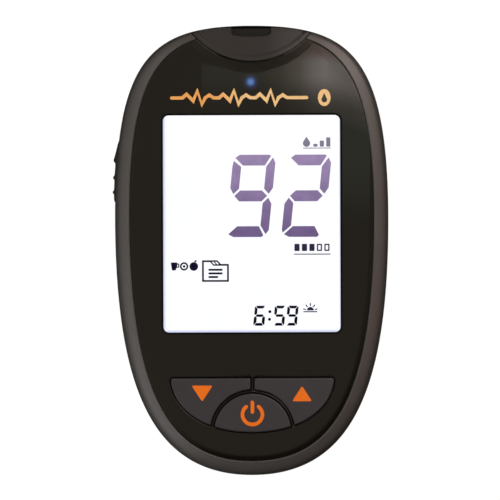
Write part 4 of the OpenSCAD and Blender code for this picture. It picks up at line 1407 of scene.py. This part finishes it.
sl = [(0.14, 8.15), (0.04, 8.20), (0.0, 8.32), (0.0, 12.08), (0.04, 12.20), (0.14, 12.25)]
make("ejector_slider_grip", loft([up(slider_loop(g), z) for g, z in sl]), [slider_mat], "ejector", ["ejector_slider"], sharp=44)

# ============================================================ battery door


def door_loop(g):
    return rr(-DX + g, DX - g, DY0 + g, DY1 - g, 2.5 - g * 0.8, 10)


door = make("battery_door_panel", loft([up(door_loop(0.2), 0.2), up(door_loop(0.06), 0.26), up(door_loop(0), 0.4), up(door_loop(0), 1.28)]), [door_mat], keep=True)
cut(door, [box(s * 4.4 - 0.35, s * 4.4 + 0.35, 12.6, 21, -1, 2) for s in (-1, 1)])
cut(door, sphere((0, 21.6, -5.2), 6.1, 96, 48))
ribs = []
for y in (12.9, 14.1, 15.3):
    prof = [(y, 0.32), (y + 0.03, 0.16), (y + 0.14, 0.06), (y + 0.31, 0.06), (y + 0.42, 0.16), (y + 0.45, 0.32)]
    ribs.append(loft([np.array([(x, a, b) for a, b in prof]) for x in (-2.8, 2.8)]))
cut(door, ribs, "UNION")
cut(door, [box(s * 8 - 2, s * 8 + 2, DY0 - 1.2, DY0 + 1, 0.6, 1.28) for s in (-1, 1)], "UNION")
tidy(door)
finish_piece(door, "door", ["battery_door"], 34)

# ============================================================ cells


def lathe_y(prof, c, sign, n=96):
    """Solid of revolution about a line along Y; prof is (radius, distance) pairs from one end to the other."""
    rings = []
    a = np.linspace(0, 2 * math.pi, n, endpoint=False)
    for r, d in prof:
        rings.append(np.stack([c[0] + r * np.cos(a), np.full(n, c[1] + sign * d), c[2] + r * np.sin(a)], 1))
    return loft(rings)


cell_prof = [(2.6, .25), (2.75, .2), (3.1, .03), (3.25, 0), (4.6, 0), (4.85, .02), (5.05, .1), (5.2, .28), (5.235, .5), (5.25, .62), (5.25, 22), (5.25, 42.85),
             (5.23, 43.0), (5.12, 43.25), (4.9, 43.42), (4.6, 43.5), (4.2, 43.45), (3.9, 43.5), (3.4, 43.56), (2.5, 43.66), (2.15, 43.7), (1.95, 43.8), (1.88, 44.0),
             (1.85, 44.3), (1.75, 44.45), (1.6, 44.5), (0.8, 44.5)]
cell_l = cell_material("cell_jacket_left", 0.0169, 1.0)
cell_r = cell_material("cell_jacket_right", -0.0301, -1.0)
make("cell_left_body", lathe_y(cell_prof, (-5.6, -27.6, 6.65), 1), [cell_l], "root", ["cell_left"], sharp=40)
make("cell_right_body", lathe_y(cell_prof, (5.6, 14.6, 6.65), -1), [cell_r], "root", ["cell_right"], sharp=40)

# ============================================================ finishes of the CAD pieces that stay

STAY = {
    "lens_gasket": adhesive_mat, "strip_guide": guide_painted_shade_mat, "ejector_carriage": slider_mat, "ejector_spring": spring_mat,
    "keypad_mat": silicone_mat, "snap_domes": spring_mat, "battery_springs": spring_mat, "battery_plates": tin_mat,
    "lcd_front_glass": glass_mat, "lcd_rear_glass": glass_mat, "rear_polariser": film_mat, "backlight_guide": acrylic_mat,
    "backlight_leds": acrylic_mat, "lcd_frame": acetal_mat, "zebra_strip": silicone_mat, "main_board": board_mat,
    "strip_connector": guide_mat, "strip_contacts": gold_mat, "status_led": led_mat, "light_pipe": pipe_mat,
    "microcontroller": chip_mat, "radio_module": tin_mat, "memory_chip": chip_mat, "clock_crystal": tin_mat, "buzzer": chip_mat,
    "chip_capacitors": ceramic_mat, "housing_screws": screw_mat, "board_screws": screw_mat,
}
for name, m in STAY.items():
    me = NODES[name].data
    me.materials.clear()
    me.materials.append(m)
    for p in me.polygons:
        p.use_smooth = True
    me.set_sharp_from_angle(angle=math.radians(30))

# The return spring as a copy with its own mesh, on the root body
coil = bpy.data.objects.new("ejector_return_coil", NODES["ejector_spring"].data.copy())
scene.collection.objects.link(coil)
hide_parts("ejector_spring")
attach(coil, "root")
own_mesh(coil)

# ============================================================ floor, light and camera

CAM_Z = 1.6767
cam_data = bpy.data.cameras.new("camera")
cam_data.lens = 600
cam_data.sensor_width = 36
cam_data.clip_start, cam_data.clip_end = 0.05, 20
cam_data.dof.use_dof = False
cam = bpy.data.objects.new("camera", cam_data)
cam.location = (-0.00036, -0.00002, CAM_Z)
cam.rotation_euler = (0, 0, -0.0033)
scene.collection.objects.link(cam)
scene.camera = cam


def floor():
    t = Tree("floor_white")
    n = t.noise(6, 2, 0.5)
    col = t.ramp(n, [(0.3, (0.100, 0.100, 0.100)), (0.7, (0.104, 0.104, 0.104))])
    d = t.n("ShaderNodeBsdfDiffuse")
    t.link(col, d.inputs["Color"])
    e = t.n("ShaderNodeEmission")
    e.inputs["Color"].default_value = (1, 1, 1, 1)
    e.inputs["Strength"].default_value = 0.97
    add = t.n("ShaderNodeAddShader")
    t.link(d.outputs[0], add.inputs[0])
    t.link(e.outputs[0], add.inputs[1])
    clear = t.n("ShaderNodeBsdfTransparent")
    geo = t.n("ShaderNodeNewGeometry")
    m = t.n("ShaderNodeMixShader")
    t.link(geo.outputs["Backfacing"], m.inputs[0])
    t.link(add.outputs[0], m.inputs[1])
    t.link(clear.outputs[0], m.inputs[2])
    t.link(m.outputs[0], t.out.inputs["Surface"])
    me = bpy.data.meshes.new("floor")
    s = 4.0
    me.from_pydata([(-s, -s, -0.00003), (s, -s, -0.00003), (s, s, -0.00003), (-s, s, -0.00003)], [], [(0, 1, 2, 3)])
    ob = bpy.data.objects.new("floor", me)
    me.materials.append(t.m)
    scene.collection.objects.link(ob)
    ob.visible_glossy = False
    ob.visible_diffuse = False
    ob.visible_shadow = False


floor()


def reflected(px, py, height=0.5):
    """Where the lens, seen at picture points (px, py), reflects the plane at the given height; in metres."""
    c, n = math.cos(cam.rotation_euler[2]), math.sin(cam.rotation_euler[2])
    k = cam_data.sensor_width / cam_data.lens / 500
    a, b = (px - 250) * k, (250 - py) * k
    d = np.stack([a * c - b * n, a * n + b * c, -np.ones(len(a))], 1)
    o = np.array(cam.location)
    z = np.full(len(a), 0.0175)
    for _ in range(4):
        q = o + d * (CAM_Z - z)[:, None]
        z = lens_z(q[:, :2] * 1000, port=False) * MM
    e = 0.02
    h = [lens_z(q[:, :2] * 1000 + off, port=False) for off in ((e, 0), (-e, 0), (0, e), (0, -e))]
    nrm = np.stack([-(h[0] - h[1]) / (2 * e), -(h[2] - h[3]) / (2 * e), np.ones(len(a))], 1)
    nrm /= np.linalg.norm(nrm, axis=1)[:, None]
    d /= np.linalg.norm(d, axis=1)[:, None]
    r = d - 2 * (d * nrm).sum(1)[:, None] * nrm
    return q + r * ((height - q[:, 2]) / r[:, 2])[:, None]


def glare_card():
    """Window-like reflector over the head of the meter, shaped so that the lens shows it as a soft band."""
    us = np.concatenate([np.linspace(201.5, 330, 25), np.linspace(333, 370, 26)])
    head = LENS_RING[LENS_RING[:, 1] > 7.1]
    head = head[np.argsort(head[:, 0])]
    top_v = LY - 5 * np.interp((us - LX) / 5, head[:, 0], head[:, 1])
    m = 64
    vs = (top_v + 0.25)[None, :] + (235 - top_v - 0.25)[None, :] * (np.linspace(0, 1, m) ** 2)[:, None]
    gu, gv = np.tile(us, m), vs.reshape(-1)
    pts = reflected(gu, gv)
    me = bpy.data.meshes.new("glare_card")
    n = len(us)
    me.from_pydata([tuple(map(float, q)) for q in pts], [], [(j * n + i, j * n + i + 1, (j + 1) * n + i + 1, (j + 1) * n + i) for j in range(m - 1) for i in range(n - 1)])
    for key, val in (("gu", gu), ("gv", gv)):
        at = me.attributes.new(key, "FLOAT", "POINT")
        at.data.foreach_set("value", val.astype(np.float32))
    t = Tree("glare")
    u = t.n("ShaderNodeAttribute", attribute_name="gu").outputs["Fac"]
    v = t.n("ShaderNodeAttribute", attribute_name="gv").outputs["Fac"]
    f = t.maprange(u, 200, 350, 0.0, 1.0)
    gx = t.ramp(f, [(0.0, (0.17, 0.20, 0.15)), (0.10, (0.23, 0.26, 0.19)), (0.38, (0.24, 0.26, 0.22)), (0.53, (0.60, 0.50, 0.42)), (0.66, (1.35, 1.20, 1.02)),
                    (0.76, (2.75, 2.45, 2.32)), (0.83, (3.40, 2.92, 2.80)), (0.90, (2.75, 2.45, 2.25)), (1.0, (2.1, 1.85, 1.7))])
    far = t.math("MULTIPLY", t.math("MAXIMUM", t.math("SUBTRACT", u, 325.0), 0.0), 0.35)
    fall = t.ramp(t.maprange(t.math("SUBTRACT", v, far), 40, 120, 0.0, 1.0),
                  [(0.0, (0.30,) * 3), (0.15, (0.55,) * 3), (0.27, (0.95,) * 3), (0.45, (0.97,) * 3), (0.53, (0.8,) * 3), (0.63, (0.5,) * 3), (0.75, (0.25,) * 3), (0.88, (0.13,) * 3), (1.0, (0.0,) * 3)])
    top = t.ramp(f, [(0.0, (0.70,) * 3), (0.2, (0.90,) * 3), (0.4, (0.85,) * 3), (0.53, (0.72,) * 3), (0.64, (0.40,) * 3), (0.75, (0.0,) * 3), (1.0, (0.0,) * 3)])
    edge = t.maprange(t.math("SUBTRACT", v, t.math("ADD", t.math("MULTIPLY", top, 30.0), 41.0)), 0.0, 3.0, 0.0, 1.0, smooth=True)
    red = t.maprange(v, 50, 62, 1.0, 0.0, smooth=True)
    col = t.mixc(red, gx, t.mixc(1.0, gx, (1.0, 0.76, 0.72), "MULTIPLY"))
    side = t.math("MULTIPLY", t.maprange(u, 328, 348, 0.0, 1.0, smooth=True), t.math("MULTIPLY", t.maprange(v, 96, 135, 0.0, 1.0, smooth=True), t.maprange(v, 160, 232, 1.0, 0.0, smooth=True)))
    tail = t.mixc(1.0, (0.20, 0.27, 0.19), side, "MULTIPLY")
    e = t.n("ShaderNodeEmission")
    t.link(t.mixc(1.0, t.mixc(1.0, col, t.math("MULTIPLY", fall, edge), "MULTIPLY"), tail, "ADD"), e.inputs["Color"])
    clear = t.n("ShaderNodeBsdfTransparent")
    m = t.n("ShaderNodeAddShader")
    t.link(e.outputs[0], m.inputs[0])
    t.link(clear.outputs[0], m.inputs[1])
    t.link(m.outputs[0], t.out.inputs["Surface"])
    ob = bpy.data.objects.new("glare_card", me)
    me.materials.append(t.m)
    scene.collection.objects.link(ob)
    ob.visible_camera = ob.visible_diffuse = ob.visible_shadow = ob.visible_transmission = False


glare_card()


def area(name, loc, target, size, radiance, color=(1, 1, 1), glossy=True, size_y=None):
    d = bpy.data.lights.new(name, "AREA")
    d.shape = "RECTANGLE"
    d.size, d.size_y = size, size_y or size
    d.energy = radiance * math.pi * d.size * d.size_y
    d.color = color
    ob = bpy.data.objects.new(name, d)
    ob.location = loc
    ob.rotation_mode = "QUATERNION"
    ob.rotation_quaternion = (Vector(target) - Vector(loc)).to_track_quat("-Z", "Y")
    ob.visible_camera = False
    ob.visible_glossy = glossy
    scene.collection.objects.link(ob)
    return ob


def polar_light(name, az, el, dist, size, e_up, color=(1, 1, 1), glossy=False):
    """Soft light from azimuth az and elevation el that gives e_up on a level surface."""
    a, b = math.radians(az), math.radians(el)
    loc = (dist * math.cos(b) * math.cos(a), dist * math.cos(b) * math.sin(a), dist * math.sin(b))
    return area(name, loc, (0, 0, 0), size, e_up * math.pi * dist * dist / (size * size * math.sin(b)), color, glossy)


polar_light("left_soft", 210, 28, 1.1, 0.6, 0.30)
polar_light("head_soft", 58, 36, 0.45, 0.25, 0.28, color=(1.0, 0.955, 0.94))
polar_light("right_soft", 18, 26, 1.1, 0.5, 0.07, color=(1.0, 0.70, 0.66))
polar_light("top_soft", 0, 90, 1.3, 1.0, 0.07)


def only_for(ob, *names):
    c = bpy.data.collections.new(ob.name + "_pieces")
    for n in names:
        c.objects.link(bpy.data.objects[n])
    ob.light_linking.receiver_collection = c


def rim_light(name, az, el, size, radiance, color):
    """Soft box that only the satin rim mirrors."""
    a, b = math.radians(az), math.radians(el)
    ob = area(name, (1.1 * math.cos(b) * math.cos(a), 1.1 * math.cos(b) * math.sin(a), 1.1 * math.sin(b)), (0, 0, 0), size, radiance, color)
    ob.visible_diffuse = False
    only_for(ob, "front_bezel_shell")


def cap_spot(name, loc, target, angle, e_up, color=(1, 1, 1)):
    """Narrow soft spot that gives e_up at the middle of its pool on the cap."""
    d = bpy.data.lights.new(name, "SPOT")
    to = Vector(target) - Vector(loc)
    d.energy = 4 * math.pi * math.pi * e_up * to.length ** 3 / -to.z
    d.color = color
    d.spot_size, d.spot_blend = math.radians(angle), 1.0
    d.shadow_soft_size = 0.002
    ob = bpy.data.objects.new(name, d)
    ob.location = loc
    ob.rotation_mode = "QUATERNION"
    ob.rotation_quaternion = to.to_track_quat("-Z", "Y")
    ob.visible_glossy = ob.visible_camera = False
    scene.collection.objects.link(ob)
    only_for(ob, "port_cap_shell")


rim_light("rim_right", 47, 52, 0.6, 1.5, (1.0, 0.76, 0.73))
rim_light("rim_lip", 48, 71, 0.30, 3.9, (1.0, 0.91, 0.90))
rim_light("rim_right_low", 52, 20, 0.45, 2.4, (1.0, 0.78, 0.75))
rim_light("rim_red", 355, 42, 0.5, 0.50, (1.0, 0.25, 0.12))
rim_light("rim_left", 210, 48, 0.7, 1.5, (0.94, 0.94, 1.0))
rim_light("rim_head", 138, 50, 0.5, 1.2, (0.93, 0.95, 1.0))
cap_spot("cap_right", (0.030, 0.075, 0.30), (0.0100, 0.0410, 0.0155), 2.9, 1.9)
cap_spot("cap_left", (-0.030, 0.075, 0.30), (-0.0080, 0.0430, 0.0155), 1.8, 0.25, (0.93, 0.94, 1.0))
# soft boxes under the object for its back, kept off the rim
BACK = ["rear_cover_shell", "battery_door_panel", "cell_left_body", "cell_right_body"] + [NODES[n].name for n in ("battery_springs", "battery_plates", "housing_screws")]
for name, loc, size, radiance in (("below_key", (0.55, 0.45, -0.85), 0.7, 7.0), ("below_fill", (-0.65, -0.25, -0.80), 0.9, 2.6), ("below_foot", (0.1, -0.9, -0.5), 0.5, 3.0)):
    only_for(area(name, loc, (0, 0, 0), size, radiance), *BACK)

w = bpy.data.worlds.new("world")
scene.world = w
w.use_nodes = True
wt = w.node_tree
wt.nodes.clear()
wo = wt.nodes.new("ShaderNodeOutputWorld")
tc = wt.nodes.new("ShaderNodeTexCoord")
sep = wt.nodes.new("ShaderNodeSeparateXYZ")
wt.links.new(tc.outputs["Generated"], sep.inputs[0])


def wnode(kind, **kw):
    x = wt.nodes.new(kind)
    for k, v in kw.items():
        setattr(x, k, v)
    return x


def wset(sock, v):
    if isinstance(v, bpy.types.NodeSocket):
        wt.links.new(v, sock)
    else:
        sock.default_value = v


def wmath(op, a, b=0.0, clamp=False):
    x = wnode("ShaderNodeMath", operation=op, use_clamp=clamp)
    wset(x.inputs[0], a)
    wset(x.inputs[1], b)
    return x.outputs[0]


def wmap(v, a, b, c, d):
    x = wnode("ShaderNodeMapRange")
    for k, val in (("From Min", a), ("From Max", b), ("To Min", c), ("To Max", d), ("Value", v)):
        wset(x.inputs[k], val)
    return x.outputs["Result"]


def toward(az, el):
    x = wnode("ShaderNodeVectorMath", operation="DOT_PRODUCT")
    wset(x.inputs[0], tc.outputs["Generated"])
    a, b = math.radians(az), math.radians(el)
    x.inputs[1].default_value = (math.cos(b) * math.cos(a), math.cos(b) * math.sin(a), math.sin(b))
    return x.outputs["Value"]


def wmix(blend, a, b, fac=1.0):
    x = wnode("ShaderNodeMix", data_type="RGBA", blend_type=blend)
    wset(x.inputs[0], fac)
    wset(x.inputs[6], a)
    wset(x.inputs[7], b)
    return x.outputs[2]


# an even room, darker towards the foot end and dark under the floor
foot = wmap(toward(292, 10), 0.30, 0.72, 1.0, 0.16)
under = wmap(sep.outputs[2], -0.30, -0.10, 0.06, 1.0)
light = wmix("MULTIPLY", (0.345, 0.31, 0.245, 1), wmath("MULTIPLY", foot, under))
bg = wt.nodes.new("ShaderNodeBackground")
wt.links.new(light, bg.inputs["Color"])
bgc = wt.nodes.new("ShaderNodeBackground")
bgc.inputs["Color"].default_value = (1, 1, 1, 1)
bgc.inputs["Strength"].default_value = 1.05
lp = wt.nodes.new("ShaderNodeLightPath")
mx = wt.nodes.new("ShaderNodeMixShader")
wt.links.new(lp.outputs["Is Camera Ray"], mx.inputs[0])
wt.links.new(bg.outputs[0], mx.inputs[1])
wt.links.new(bgc.outputs[0], mx.inputs[2])
wt.links.new(mx.outputs[0], wo.inputs[0])

scene.view_settings.view_transform = "Standard"
scene.view_settings.look = "None"
scene.view_settings.exposure = 0
scene.view_settings.gamma = 1
